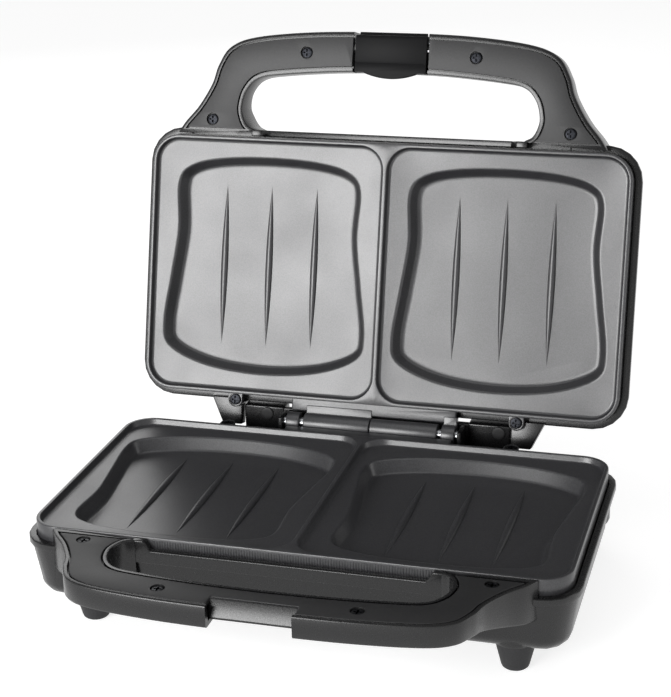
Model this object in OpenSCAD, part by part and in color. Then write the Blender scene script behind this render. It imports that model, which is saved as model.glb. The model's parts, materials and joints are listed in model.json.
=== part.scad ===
// Countertop cooker with two hinged cooking plates, loop handles and a clip latch.
// x runs to the right, y to the back and z up. The part stands on z = 0 with its lid open.
// The bodies are drawn about the parting plane between the plates and then put in place.

/* [Cooking plates] */
// Width of a plate over its rim
plate_w = 270; // [262:1:284]
// Depth of a plate over its rim
plate_d = 144.4; // [142:0.2:150]
// Radius of the plate's corners
plate_corner_r = 15; // [12:0.5:18]
// Height of the plate's outer skirt
skirt_h = 9.5; // [8.6:0.1:11]
// Thickness of the casting
casting_t = 2.2; // [1.8:0.1:2.6]
// Width of the rim round the plate
rim_w = 1.8; // [1.4:0.1:2.4]
// Depth of each flat field below the rim
field_depth = 3.3; // [2.5:0.1:4]
// Places across the plate of the hooks that hold its front down
plate_hook_x = 107.6; // [100:0.2:110]
// Width of those hooks
plate_hook_w = 14; // [10:0.5:16]
// Thickness of those hooks
plate_hook_t = 1.8; // [1.4:0.1:2]
// Width of the ridge between the two fields
divider_w = 2; // [1.6:0.1:4]
// Depth of a pocket below its field
pocket_depth = 7.5; // [5:0.1:9]
// Sideways run of a pocket's sloping wall
pocket_run = 4.8; // [3:0.1:6]
// Half width of a pocket at its front corners
pocket_front_half = 53; // [50:0.5:55]
// Half width of a pocket at its waist
pocket_waist_half = 52.2; // [48:0.2:54]
// Half width of a pocket at its widest, near the hinge
pocket_rear_half = 59; // [55:0.5:60]
// Reach of a pocket to the front
pocket_front = 61; // [58:0.5:62]
// Reach of a pocket to the back
pocket_rear = 60.5; // [58:0.5:62]
// Length of the ridges on a pocket's floor
ridge_l = 90; // [70:1:96]
// Width of a ridge at its middle
ridge_w = 4; // [3:0.1:5]
// Height of a ridge at its middle
ridge_h = 1.7; // [1:0.1:2.4]
// Distance between ridges
ridge_pitch = 26.4; // [20:0.2:28]

/* [Housings] */
// Width of the lip that shows round a plate
lip_w = 4.2; // [3.6:0.1:5]
// Drop of the lip below the parting plane
lip_drop = 8.4; // [7.8:0.1:8.6]
// Height of the bead under the lip
bead_h = 5; // [4:0.1:6]
// Step in from the bead to the wall
bead_step = 1.6; // [1:0.1:2]
// Thickness of the housing walls
shell_t = 2.4; // [2:0.1:2.8]
// Depth of the base below the parting plane
base_h = 40; // [39:0.5:48]
// Inward slope of the base walls, side to side and front to back
base_draft = 3; // [1:0.5:5]
// Radius of the base's bottom edge
base_edge_r = 12; // [8:0.5:14]
// Height of the lid above the parting plane
lid_h = 38; // [36:0.5:46]
// Inward slope of the lid walls
lid_draft = 12; // [9:0.5:13]
// Radius of the lid's top edge
lid_edge_r = 10; // [7:0.5:12]
// Reach of the rear deck behind the shell
deck_reach = 29; // [27:0.2:32]
// Drop of the rear deck below the parting plane
deck_drop = 16; // [14.5:0.5:18]
// Distance of the rear deck's sides in from the shell's sides
deck_in = 15.2; // [11.2:0.2:21]
// Reach of the rear deck under the plates, in front of the shell's back
deck_lap = 46; // [40:1:52]
// Radius of the rear deck's corners
deck_r = 20; // [16:0.5:24]

/* [Hinge] */
// Distance of the pin's axis behind the plates
hinge_back = 12.8; // [12.4:0.1:14]
// Drop of the pin's axis below the parting plane
hinge_drop = 1.1; // [0.8:0.1:1.4]
// Angle to which the lid opens
open_angle = 105; // [100:0.5:108]
// Radius of the knuckles on the plates
knuckle_r = 5.6; // [5:0.1:5.8]
// Radius of the hinge pin
hinge_pin_r = 3; // [2.4:0.1:3.4]
// Length of the long knuckles
long_knuckle = 38; // [34:0.5:38.5]
// Centre of the short knuckles
short_knuckle_x = 44.2; // [43.6:0.1:44.6]
// Width of the short knuckles
short_knuckle = 7.4; // [5:0.1:7.8]
// Centre of the ribs that hold the pin in
pin_rib_x = 50.8; // [50.6:0.1:52]
// Inner side of the hinge towers
tower_in = 54.5; // [54:0.1:58]
// Width of the hinge towers
tower_w = 21.2; // [18:0.2:21.2]
// Depth of the hinge towers
tower_d = 11; // [9:0.5:11.5]
// Distance of the towers' front face behind the pin's axis
tower_back = 9; // [8.6:0.1:10]
// Radius of the plugs in the towers
plug_r = 3.7; // [3:0.1:4]
// Places of the plugs across the base
plug_x = [-63, 70];
// Inner side of the lid's hinge arms
arm_in = 77.2; // [77:0.1:78.5]
// Outer side of the arms at the lid
arm_out = 95.5; // [92:0.5:98]
// Outer side of the arms at their tip
arm_tip = 88.4; // [86:0.2:92]
// Height of the arms above the parting plane when closed
arm_z = 4.6; // [4.4:0.1:6]
// Thickness of the arms
arm_t = 7.4; // [6:0.1:9]

/* [Handles] */
// Reach of the handles in front of the shell
handle_reach = 55.8; // [50:0.2:62]
// Half width of the grip at its corners
grip_half = 98.3; // [94:0.5:100]
// Half width of the legs where they meet the shell
root_half = 120.4; // [112:0.2:122]
// Depth of the grip, front to back
grip_d = 21.7; // [20.5:0.1:24]
// Half width of the finger opening
loop_half = 83.4; // [78:0.2:85]
// Half width of the finger opening at the shell
loop_root_half = 76; // [70:0.5:78]
// Thickness of the base handle
base_handle_t = 11.6; // [11:0.1:14]
// Thickness of the lid handle
lid_handle_t = 15; // [13.5:0.1:17]
// Width of the frame round the covers
frame_w = 2.1; // [1.6:0.1:2.4]
// Width of the ledge that carries the covers
ledge_w = 1.3; // [1:0.1:1.8]
// Thickness of the covers
cover_t = 2.6; // [2:0.1:3]
// Half width of the notch in the base handle
base_notch_half = 19.7; // [19.4:0.1:20.6]
// Half width of the notch in the lid handle
lid_notch_half = 21; // [20:0.1:21.4]
// Depth of the notches behind the front edge
notch_d = 9.7; // [9:0.1:10.5]
// Height of the catch under the base handle's face
catch_h = 8.2; // [7.6:0.1:8.6]
// Forward slope of the catch
catch_run = 4.4; // [3.4:0.1:4.8]
// Centre of the outer cover screws across the handle
cover_screw_out = 100.6; // [99:0.1:101]
// Centre of the inner cover screws across the handle
cover_screw_in = 47.4; // [40:0.2:56]
// Distance of the outer cover screws in front of the shell
cover_screw_root = 5; // [4.6:0.1:6]
// Drop of the shell's front lip inside the finger opening
loop_lip_drop = 5.6; // [5:0.1:8]

/* [Latch] */
// Half width of the latch
latch_half = 18.8; // [16:0.1:19]
// Height of the latch pin above the parting plane
latch_z = 5.2; // [5:0.1:5.6]
// Distance of the latch pin behind the handle's front edge
latch_back = 5.2; // [5:0.1:5.4]
// Radius of the latch's barrel
latch_barrel_r = 3.6; // [3.2:0.1:3.8]
// Radius of the latch pin
latch_pin_r = 1.5; // [1.2:0.1:1.8]
// Thickness of the latch's arm
latch_t = 3; // [2.4:0.1:3.2]
// Reach of the latch from its pin to the end of its thumb tab
latch_reach = 20; // [19.4:0.1:22]
// Thickness of the hook along the arm
hook_t = 2.6; // [2:0.1:2.8]
// Angle to which the latch swings
latch_angle = 115; // [105:1:125]

/* [Feet] */
// Height of the feet
foot_h = 15; // [13:0.5:18]
// Radius of a foot at its top
foot_top_r = 9.2; // [8:0.1:10]
// Radius of a foot at the floor
foot_floor_r = 6.3; // [5:0.1:7]
// Distance of the front feet in from the shell's sides
front_foot_in = 31.6; // [27.2:0.2:39]
// Distance of the front feet behind the shell's front
front_foot_back = 19; // [17.4:0.2:28]
// Distance of the rear feet in from the shell's sides
rear_foot_in = 17.8; // [17.4:0.2:27]
// Distance of the rear feet in front of the deck's rear edge
rear_foot_front = 29.4; // [25.4:0.2:39]
// Radius of the columns over the feet
column_r = 12.8; // [12:0.1:14]
// Height of the columns above the base's bottom
column_h = 14; // [12:0.5:16]
// Distance of the front columns' axes in front of the feet's axes
column_shift = 2.6; // [2:0.1:3]
// Radius of the hollow under a foot, which takes the screw's head
foot_bore_r = 3.2; // [3.1:0.1:3.6]
// Thickness of a foot above that hollow
foot_floor_t = 4; // [3:0.5:5]
// Radius of the foot screws' shanks
foot_screw_r = 1.7; // [1.5:0.1:2]
// Length of the foot screws inside the base
foot_screw_grip = 6; // [5:0.5:7]

/* [Inside] */
// Radius of the heating tube
heater_r = 3.3; // [2.8:0.1:3.6]
// Width of the heating loop between centre lines
heater_w = 190; // [170:1:200]
// Depth of the heating loop between centre lines
heater_d = 92; // [80:1:98]
// Radius of the loop's bends
heater_bend_r = 18; // [14:0.5:22]
// Thickness of the sheet steel shields
sheet_t = 0.8; // [0.6:0.1:1]
// Height of the shields' turned rim
shield_rim = 5; // [3:0.1:6]
// Gap between the shields' edge and the plate's skirt line
shield_gap = 5; // [4:0.1:8]
// Distance of the side shield screws from the plate's edge
shield_screw_in = 9.4; // [9:0.1:11]
// Distance of the middle shield screws from the plate's middle
shield_screw_y = 34; // [20:1:44]
// Distance of the heater's ends from the middle
heater_end_x = 16; // [15:0.5:20]
// Radius of the holes in the shields that let the wires through
shield_hole_r = 4.5; // [4:0.1:5.5]
// Radius of the wires in the base
wire_r = 1.2; // [1:0.1:1.4]
// Height of the terminals and wires above the base's bottom
wire_h = 11; // [10.5:0.1:11.5]
// Width of the terminal block
block_w = 30; // [28:0.5:34]
// Depth of the terminal block
block_d = 16; // [14:0.5:18]
// Height of the terminal block
block_h = 10; // [9:0.5:11]
// Distance between its two terminals
block_pitch = 20; // [18:0.5:21]
// Distance of the terminal block in front of the deck's rear edge
block_front = 45.4; // [43:0.2:50]
// Length of the thermal fuse
fuse_l = 16; // [12:0.5:18]
// Radius of the thermostat
thermostat_r = 8; // [7:0.5:10]
// Radius of the bore for the mains lead
lead_r = 3.5; // [3:0.1:4]
// Length of the lead's bush
bush_l = 14; // [12:0.5:18]
// Place of the lead's bush across the base
bush_x = 34; // [20:1:44]
// Height of the lead's bush above the base's bottom
bush_h = 13.5; // [13:0.5:14]
// Wall of the bush round the lead
bush_t = 2.4; // [2:0.1:2.6]
// Width and thickness of the bush's flanges
bush_flange = [1.2, 1.6];
// Width of the steel panel on the lid
panel_w = 206; // [180:1:210]
// Depth of the steel panel on the lid
panel_d = 80; // [70:1:84]
// Radius of the indicator lenses
lens_r = 3; // [2.5:0.1:3.6]
// Distance between the indicator lenses
lens_pitch = 26; // [20:1:34]
// Place of the steel panel's middle behind the plates' middle
panel_y = 6; // [2:0.5:10]
// Distance of the lenses in front of the panel
lens_gap = 8; // [6:0.5:10]
// Radius of the steel panel's corners
panel_r = 12; // [8:0.5:16]

/* [Screws] */
// Radius of the cover screws' heads
cover_head_r = 3; // [2.6:0.1:3.2]
// Radius of the cover screws' shanks
cover_shank_r = 1.4; // [1.2:0.1:1.6]
// Length of the cover screws
cover_screw_l = 8; // [7:0.5:9]
// Radius of the plate screws' heads
plate_head_r = 3.1; // [2.8:0.1:3.2]
// Radius of the plate screws' shanks
plate_shank_r = 1.7; // [1.5:0.1:1.9]
// Length of the plate screws
plate_screw_l = 12; // [10:0.5:13]
// Radius of the ears that take the plate screws
ear_r = 4.2; // [4:0.1:4.4]
// Distance of the ears from the middle
ear_x = 80.4; // [80:0.1:82]
// Distance of the ears behind the plate
ear_back = 3.3; // [3.1:0.1:3.4]
// Thickness of the ears
ear_t = 3.4; // [3:0.1:3.6]

/* [Fits] */
// Gap between the two halves at the parting plane
parting_gap = 0.5; // [0.4:0.1:0.8]
// Gap between a plate's skirt and its housing
well_gap = 0.8; // [0.6:0.1:1]
// Gap round the handle covers
cover_gap = 0.4; // [0.3:0.05:0.5]
// Radial running clearance of the pins
pin_gap = 0.05; // [0.03:0.01:0.08]
// Radial clearance of screws in their holes
screw_gap = 0.05; // [0.03:0.01:0.1]
// Clearance between pieces that are put together and stay still
seat_gap = 0.2; // [0.15:0.05:0.3]
// Clearance between pieces that move past each other
move_gap = 0.4; // [0.3:0.05:0.5]

/* [Hidden] */

$fn = 48;
hull_fn = 32;
cut = 1;
far = 400;
shell_w = plate_w + 2 * lip_w;
shell_d = plate_d + 2 * lip_w;
shell_r = plate_corner_r + lip_w;
wall_w = shell_w - 2 * bead_step;
wall_d = shell_d - 2 * bead_step;
wall_r = shell_r - bead_step;
front = -shell_d / 2;
rim_z = -parting_gap / 2;
plate_front = -plate_d / 2;
bead_z = -lip_drop - bead_h;
parting_h = base_h + foot_h;
hinge_y = plate_d / 2 + hinge_back;
hinge_z = -hinge_drop;
field_z = rim_z - field_depth;
pocket_z = field_z - pocket_depth;
pocket_under = pocket_z - casting_t;
pocket_x = plate_w / 4 - rim_w / 2 + divider_w / 4;
field_w = plate_w / 2 - rim_w - divider_w / 2;
field_d = plate_d - 2 * rim_w;
field_r = plate_corner_r - rim_w;
heater_z = pocket_under - heater_r;
shield_z = heater_z - heater_r;
shield_w = plate_w - 2 * shield_gap;
shield_d = plate_d - 2 * shield_gap - 4;
shield_r = plate_corner_r;
grip_y = front - handle_reach;
handle_back = plate_front - 1.4;
notch_y = grip_y + notch_d;
latch_y = grip_y + latch_back;
arm_tip_y = hinge_y + 4.9;
tower_y = hinge_y + tower_back;
deck_y = shell_d / 2 + deck_reach;
deck_front = shell_d / 2 - deck_lap;
deck_w = shell_w - 2 * deck_in;
front_foot_x = shell_w / 2 - front_foot_in;
front_foot_y = front + front_foot_back;
rear_foot_x = shell_w / 2 - rear_foot_in;
rear_foot_y = deck_y - rear_foot_front;
ear_y = plate_d / 2 + ear_back;
ear_z = rim_z - 0.6;
bottom_z = -base_h;
lens_y = panel_y - panel_d / 2 - lens_gap;
terminal_z = bottom_z + wire_h - block_h / 2;

// Inset of the rear deck's wall at a height, from its top edge
function deck_inset(z, low, edge) = z > low + edge
    ? base_draft * (-deck_drop - z) / (-deck_drop - low - edge)
    : base_draft + edge * (1 - sqrt(1 - pow(1 - (z - low) / edge, 2)));

// The bush's flanges: one behind the wall's lowest point beside it, the other past its highest
bush_z = bottom_z + bush_h;
bush_flange_r = lead_r + bush_t + bush_flange[0];
bush_inner_y = deck_y - shell_t - bush_flange[1] - move_gap
    - deck_inset(bush_z - bush_flange_r, bottom_z + shell_t, base_edge_r - shell_t);
bush_outer_y = deck_y + seat_gap - deck_inset(bush_z + bush_flange_r, bottom_z, base_edge_r);

// Height of the towers: the lid's bead comes to rest just above them
bead_dy = shell_d / 2 - hinge_y;
bead_dz = lip_drop + bead_h - hinge_z;
tower_top = hinge_z - bead_dy * sin(open_angle) + bead_dz * cos(open_angle) - move_gap;

// Inner pieces
heater_end_y = heater_d / 2 - 28;
shield_hole_y = heater_end_y - 3;
block_y = deck_y - block_front;
fuse_y = shield_hole_y - 10 - fuse_l / 2;
fuse_z = shield_z - sheet_t - 3;
thermostat_x = -heater_end_x - 24;
thermostat_y = heater_end_y + 2;
lamp_drop = 9.4;

// Furthest point of the open lid behind the hinge, taken over the lid's outer corners
function open_back(y, z) = hinge_y + (y - hinge_y) * cos(open_angle) + (z - hinge_z) * sin(open_angle);
back_y = max(concat([for (a = [0:22.5:90])
    open_back(lid_draft + lid_edge_r * (1 - cos(a)) - wall_d / 2, lid_h - lid_edge_r * (1 - sin(a)))],
    [open_back(grip_y, lid_handle_t - rim_z)]));
mid_y = (grip_y + back_y) / 2;

// Points of a smooth curve through the given points
function blend(a, b, c, d, t) =
    0.5 * (2 * b + (c - a) * t + (2 * a - 5 * b + 4 * c - d) * t * t + (3 * b - a - 3 * c + d) * t * t * t);
function open_curve(p, n) = concat(
    [for (i = [0:len(p) - 2], k = [0:n - 1])
        blend(p[max(i - 1, 0)], p[i], p[i + 1], p[min(i + 2, len(p) - 1)], k / n)],
    [p[len(p) - 1]]);
function loop_curve(p, n) = let (m = len(p))
    [for (i = [0:m - 1], k = [0:n - 1])
        blend(p[(i + m - 1) % m], p[i], p[(i + 1) % m], p[(i + 2) % m], k / n)];
function flip_x(p) = [for (i = [len(p) - 1:-1:0]) [-p[i][0], p[i][1]]];
function outward(a, b) = [b[1] - a[1], a[0] - b[0]] / norm(b - a);
function backward(p) = [for (i = [len(p) - 1:-1:0]) p[i]];
function inset(p, d) = let (m = len(p))
    [for (i = [0:m - 1])
        let (u = outward(p[(i + m - 1) % m], p[i]), v = outward(p[i], p[(i + 1) % m]))
        p[i] - d * (u + v) / (1 + u * v)];

// Outline of the handles: grip, legs and finger opening as one band
grip_outer = open_curve([
    [0, grip_y], [0.43 * grip_half, grip_y + 1], [0.775 * grip_half, grip_y + 4.6],
    [0.93 * grip_half, grip_y + 10.4], [grip_half, grip_y + 21.6],
    [grip_half + 0.3 * (root_half - grip_half), grip_y + 0.64 * handle_reach],
    [root_half - 4.5, grip_y + 0.93 * handle_reach], [root_half, handle_back]], 4);
loop_y = grip_y + grip_d;
loop_inner = open_curve([
    [0, loop_y], [0.36 * loop_half, loop_y + 0.8], [0.72 * loop_half, loop_y + 3.2],
    [0.89 * loop_half, loop_y + 5.8], [0.97 * loop_half, loop_y + 12.4],
    [loop_half, loop_y + 0.62 * (front - loop_y)], [loop_half - 2, front - 4.4],
    [loop_root_half, handle_back]], 4);

// Half of one of the band's edges, moved outward by d and cut off at the line y = back
function shifted(c, d) = [for (i = [0:len(c) - 1])
    let (u = i > 0 ? outward(c[i - 1], c[i]) : [0, -1], v = i < len(c) - 1 ? outward(c[i], c[i + 1]) : u)
    c[i] + d * (u + v) / (1 + u * v)];
function half_edge(c, d, back) =
    let (s = shifted(c, d), kept = [for (p = s) if (p[1] < back - 0.01) p],
        a = s[len(kept) - 1], b = s[len(kept)])
    concat(kept, [a + (b - a) * (back - a[1]) / (b[1] - a[1])]);
// The band drawn in by d on every side, its points running round to the left
function band_inside(d) =
    let (o = half_edge(grip_outer, -d, handle_back - d), i = half_edge(loop_inner, d, handle_back - d))
    concat(o, backward(i),
        flip_x(backward([for (k = [1:len(i) - 1]) i[k]])), flip_x([for (k = [1:len(o) - 1]) o[k]]));

// Outline of a pocket about its own middle
pocket_side = [
    [0.53 * pocket_front_half, -pocket_front + 1.5], [0.87 * pocket_front_half, -pocket_front + 6.2],
    [pocket_front_half, -pocket_front + 16], [pocket_waist_half, -19],
    [(pocket_waist_half + pocket_rear_half) / 2, 8], [pocket_rear_half, 35],
    [0.93 * pocket_rear_half, pocket_rear - 12.4], [0.55 * pocket_rear_half, pocket_rear - 3.2]
];
pocket_outline = loop_curve(concat(
    [[0, -pocket_front]], pocket_side, [[0, pocket_rear]], flip_x(pocket_side)), 4);

// Places of the screws that hold the handle covers
cover_screws = [
    [-cover_screw_out, front - cover_screw_root], [cover_screw_out, front - cover_screw_root],
    [-cover_screw_in, grip_y + 0.57 * grip_d], [cover_screw_in, grip_y + 0.57 * grip_d]
];
shield_screws = [
    [0, -shield_screw_y], [0, shield_screw_y],
    [-plate_w / 2 + shield_screw_in, 0], [plate_w / 2 - shield_screw_in, 0]
];
feet = [
    [-front_foot_x, front_foot_y], [front_foot_x, front_foot_y],
    [-rear_foot_x, rear_foot_y], [rear_foot_x, rear_foot_y]
];

// Put a piece of the base, drawn about the parting plane, in its place
module on_base() {
    translate([0, -mid_y, parting_h]) children();
}

// Put a piece of the lid, drawn closed, in its place on the open lid
module on_lid() {
    on_base() translate([0, hinge_y, hinge_z]) rotate([-open_angle, 0, 0])
        translate([0, -hinge_y, -hinge_z]) children();
}

// Turn a piece drawn for the base over, so that it faces down from the lid
module turned() {
    rotate([0, 180, 0]) children();
}

module both_sides() {
    children();
    mirror([1, 0, 0]) children();
}

module rounded_rect(w, d, r) {
    square([w - 2 * r, d], center = true);
    square([w, d - 2 * r], center = true);
    for (sx = [-1, 1], sy = [-1, 1])
        translate([sx * (w / 2 - r), sy * (d / 2 - r)]) circle(r);
}

module slab(w, d, r, low, high) {
    translate([0, 0, low]) linear_extrude(high - low) rounded_rect(w, d, r);
}

// Tub with sloping walls and a rounded bottom edge, open at the top, as a full solid
module tub(w, d, r, top, bottom, draft, edge) {
    hull() {
        slab(w, d, r, top - 0.3, top, $fn = hull_fn);
        for (a = [0:22.5:90])
            let (in = 2 * (draft + edge * (1 - cos(a))), z = bottom + edge * (1 - sin(a)))
            slab(w - in, d - in, max(r - in / 2, 1), z, z + 0.3, $fn = hull_fn);
    }
}

// Cylinder along x between two places
module bar_x(x0, x1, y, z, r) {
    translate([x0, y, z]) rotate([0, 90, 0]) cylinder(h = x1 - x0, r = r);
}

// Countersunk screw with its head's face at the origin and its point along -z
module screw(head_r, shank_r, length) {
    difference() {
        union() {
            translate([0, 0, -0.6]) cylinder(h = 0.6, r = head_r);
            translate([0, 0, -0.6 - head_r + shank_r])
                cylinder(h = head_r - shank_r, r1 = shank_r, r2 = head_r);
            translate([0, 0, -length]) cylinder(h = length, r = shank_r);
        }
        for (a = [0, 90])
            rotate([0, 0, a]) cube([head_r * 1.3, head_r * 0.26, 2.4], center = true);
    }
}

module screw_hole(head_r, shank_r, length) {
    translate([0, 0, -0.6]) cylinder(h = 0.6 + cut, r = head_r + screw_gap);
    translate([0, 0, -0.6 - head_r + shank_r])
        cylinder(h = head_r - shank_r, r1 = shank_r + screw_gap, r2 = head_r + screw_gap);
    translate([0, 0, -length - seat_gap]) cylinder(h = length, r = shank_r + screw_gap);
}

// Ridge on a pocket's floor: a slender body of revolution that tapers to points
module ridge() {
    arc_r = (ridge_l * ridge_l / 4 + ridge_h * ridge_h) / (2 * ridge_h);
    scale_w = ridge_w / (2 * ridge_h);
    translate([0, 0, pocket_z]) rotate([90, 0, 0]) rotate_extrude() intersection() {
        translate([ridge_h - arc_r, 0]) circle(arc_r, $fn = 720);
        translate([0, -ridge_l / 2 + 0.4]) square([ridge_h * scale_w, ridge_l - 0.8]);
    }
}

// Plate casting, drawn for the base. The lid's plate is the same one turned over
module plate_casting(axis_z) {
    barrel_gap = 0.25;
    difference() {
        union() {
            difference() {
                slab(plate_w, plate_d, plate_corner_r, rim_z - skirt_h, rim_z);
                slab(plate_w - 2 * casting_t, plate_d - 2 * casting_t, plate_corner_r - casting_t,
                    rim_z - skirt_h - cut, field_z - casting_t);
            }
            for (sx = [-1, 1])
                translate([sx * pocket_x, 0, 0]) intersection() {
                    translate([0, 0, pocket_under]) linear_extrude(pocket_depth + 0.6)
                        polygon(inset(pocket_outline, -casting_t * 0.6));
                    slab(field_w, field_d, field_r, pocket_under, field_z);
                }
            translate([-47, plate_d / 2 - casting_t, rim_z - 5])
                cube([94, casting_t + 5.4, 4.4]);
            for (sx = [-1, 1])
                translate([sx * ear_x, 0, ear_z - ear_t]) {
                    translate([0, ear_y, 0]) cylinder(h = ear_t, r = ear_r);
                    translate([-ear_r, plate_d / 2 - casting_t, 0])
                        cube([2 * ear_r, casting_t + ear_back, ear_t]);
                }
            bar_x(barrel_gap, long_knuckle, hinge_y, axis_z, knuckle_r);
            translate([barrel_gap, plate_d / 2 + 3, axis_z - knuckle_r])
                cube([long_knuckle - barrel_gap, hinge_back - 3, 4.2]);
            bar_x(-short_knuckle_x - short_knuckle / 2, -short_knuckle_x + short_knuckle / 2,
                hinge_y, axis_z, knuckle_r);
            translate([-short_knuckle_x - short_knuckle / 2, plate_d / 2 + 3, axis_z - knuckle_r])
                cube([short_knuckle, hinge_back - 3, 4.2]);
            for (p = shield_screws)
                translate([p[0], p[1], shield_z]) cylinder(h = field_z - casting_t - shield_z, r = 3.6);
            for (sx = [-1, 1])
                translate([sx * plate_hook_x - plate_hook_w / 2, plate_front - plate_hook_t, rim_z - skirt_h])
                    cube([plate_hook_w, plate_hook_t + casting_t, plate_hook_t]);
        }
        for (sx = [-1, 1]) {
            translate([sx * (rim_w / -2 + divider_w / 4 + plate_w / 4), 0, 0])
                slab(field_w, field_d, field_r, field_z, rim_z + cut);
            translate([sx * pocket_x, 0, pocket_z]) mirror([0, 0, 1]) translate([0, 0, -pocket_depth - 0.02])
                linear_extrude(pocket_depth + 0.02, slices = 1,
                    scale = [1 - pocket_run / pocket_rear_half, 1 - pocket_run / pocket_front])
                    polygon(pocket_outline);
            translate([sx * ear_x, ear_y, ear_z]) screw_hole(plate_head_r, plate_shank_r, plate_screw_l);
        }
        for (p = shield_screws)
            translate([p[0], p[1], shield_z - cut]) cylinder(h = 7 + cut, r = 1.5 + screw_gap);
        bar_x(-short_knuckle_x - short_knuckle, long_knuckle + cut, hinge_y, axis_z, hinge_pin_r + pin_gap);
    }
    for (sx = [-1, 1], k = [-1:1])
        translate([sx * pocket_x + k * ridge_pitch, 0, 0]) intersection() {
            ridge();
            translate([0, 0, pocket_z + 5]) cube([20, ridge_l, 10.4], center = true);
        }
}

// Tubular heater: a loop under the two pockets whose ends turn in to the terminals
module heater_loop() {
    hw = heater_w / 2;
    hd = heater_d / 2;
    br = heater_bend_r;
    end_x = heater_end_x;
    end_r = 10;
    translate([0, 0, heater_z]) {
        bar_x(-hw + br, hw - br, -hd, 0, heater_r);
        for (sx = [-1, 1]) {
            translate([sx * hw, hd - br, 0]) rotate([90, 0, 0]) cylinder(h = heater_d - 2 * br, r = heater_r);
            bar_x(sx > 0 ? end_x + end_r : -hw + br, sx > 0 ? hw - br : -end_x - end_r, hd, 0, heater_r);
            translate([sx * end_x, hd - end_r, 0]) rotate([90, 0, 0]) cylinder(h = 12, r = heater_r);
            translate([sx * end_x, hd - end_r, 0]) rotate([90, 0, 0])
                cylinder(h = hd - end_r - heater_end_y, r = 1.6);
        }
        heater_bend(hw - br, -hd + br, br, 270);
        heater_bend(-hw + br, -hd + br, br, 180);
        heater_bend(hw - br, hd - br, br, 0);
        heater_bend(-hw + br, hd - br, br, 90);
        heater_bend(end_x + end_r, hd - end_r, end_r, 90);
        heater_bend(-end_x - end_r, hd - end_r, end_r, 0);
    }
}

module heater_bend(x, y, r, turn) {
    translate([x, y, 0]) rotate([0, 0, turn]) rotate_extrude(angle = 90) translate([r, 0]) circle(heater_r);
}

// Pressed steel tray that throws the heat back at the plate
module shield_tray() {
    difference() {
        slab(shield_w, shield_d, shield_r, shield_z - sheet_t, shield_z + shield_rim);
        slab(shield_w - 2 * sheet_t, shield_d - 2 * sheet_t, shield_r - sheet_t,
            shield_z, shield_z + shield_rim + cut);
        for (p = shield_screws)
            translate([p[0], p[1], shield_z - 5]) cylinder(h = 10, r = 1.5 + screw_gap);
        for (sx = [-1, 1])
            translate([sx * heater_end_x, shield_hole_y, shield_z - 5]) cylinder(h = 10, r = shield_hole_r);
    }
}

module shield_screw_set() {
    for (p = shield_screws)
        translate([p[0], p[1], shield_z - sheet_t]) {
            translate([0, 0, -1.8]) cylinder(h = 1.8, r = 3);
            cylinder(h = 6.6, r = 1.5);
        }
}

module plate_screw_set() {
    for (sx = [-1, 1])
        translate([sx * ear_x, ear_y, ear_z]) screw(plate_head_r, plate_shank_r, plate_screw_l);
}

// The handle's band, drawn in by d, between two heights
module band(d, low, high) {
    translate([0, 0, low]) linear_extrude(high - low) polygon(band_inside(d));
}

// Handle moulded with its housing: an open channel with a ledge for the cover
module handle_frame(t) {
    difference() {
        band(0, rim_z - t, rim_z);
        band(frame_w, rim_z - cover_t - seat_gap, rim_z + cut);
        band(frame_w + ledge_w, rim_z - t + shell_t, rim_z);
    }
    for (p = cover_screws)
        translate([p[0], p[1], rim_z - t + 1]) difference() {
            cylinder(h = t - 1 - cover_t - seat_gap, r = 3.6);
            translate([0, 0, t - 1 - cover_screw_l - seat_gap])
                cylinder(h = cover_screw_l, r = cover_shank_r + screw_gap);
        }
}

// Fillet under a leg, where it runs into the shell's wall
module leg_fairing(t, depth) {
    hull() {
        translate([grip_half - 12, grip_y + 0.42 * handle_reach, rim_z - t]) cube([11, 8, 1.6]);
        translate([loop_half + 1, front + 1.5, rim_z - depth])
            cube([root_half - loop_half + 4, 3, depth - t + 1.6]);
    }
}

module cover_blank() {
    difference() {
        band(frame_w + cover_gap, rim_z - cover_t, rim_z);
        for (p = cover_screws)
            translate([p[0], p[1], rim_z - 0.5]) screw_hole(cover_head_r, cover_shank_r, cover_screw_l);
    }
}

module cover_screw_set() {
    for (p = cover_screws)
        translate([p[0], p[1], rim_z - 0.5]) screw(cover_head_r, cover_shank_r, cover_screw_l - 0.5);
}

// Slots in the housing's front wall for the hooks that hold a plate's front down
module plate_hook_slots() {
    for (sx = [-1, 1])
        translate([sx * plate_hook_x - plate_hook_w / 2 - well_gap, plate_front - plate_hook_t - move_gap,
            rim_z - skirt_h - move_gap])
            cube([plate_hook_w + 2 * well_gap, plate_hook_t + 3 * move_gap, plate_hook_t + 2 * move_gap]);
}

// Boss under an ear, which takes its screw
module ear_boss(low) {
    boss_h = ear_z - ear_t - seat_gap - low;
    translate([ear_x, ear_y, low]) {
        cylinder(h = boss_h, r = ear_r);
        translate([-ear_r, well_gap - ear_back, 0]) cube([2 * ear_r, ear_back - well_gap, boss_h]);
    }
}

// Holes of the plate screws, right through whatever stands round them
module ear_screw_holes() {
    for (sx = [-1, 1])
        translate([sx * ear_x, ear_y, ear_z - plate_screw_l - seat_gap])
            cylinder(h = plate_screw_l, r = plate_shank_r + screw_gap);
}

module tower() {
    translate([tower_in, tower_y, -deck_drop - 1]) difference() {
        cube([tower_w, tower_d, tower_top + deck_drop + 1]);
        translate([shell_t, shell_t, -cut])
            cube([tower_w - 2 * shell_t, tower_d - 2 * shell_t, tower_top + deck_drop + 1 - shell_t]);
    }
}

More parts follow.
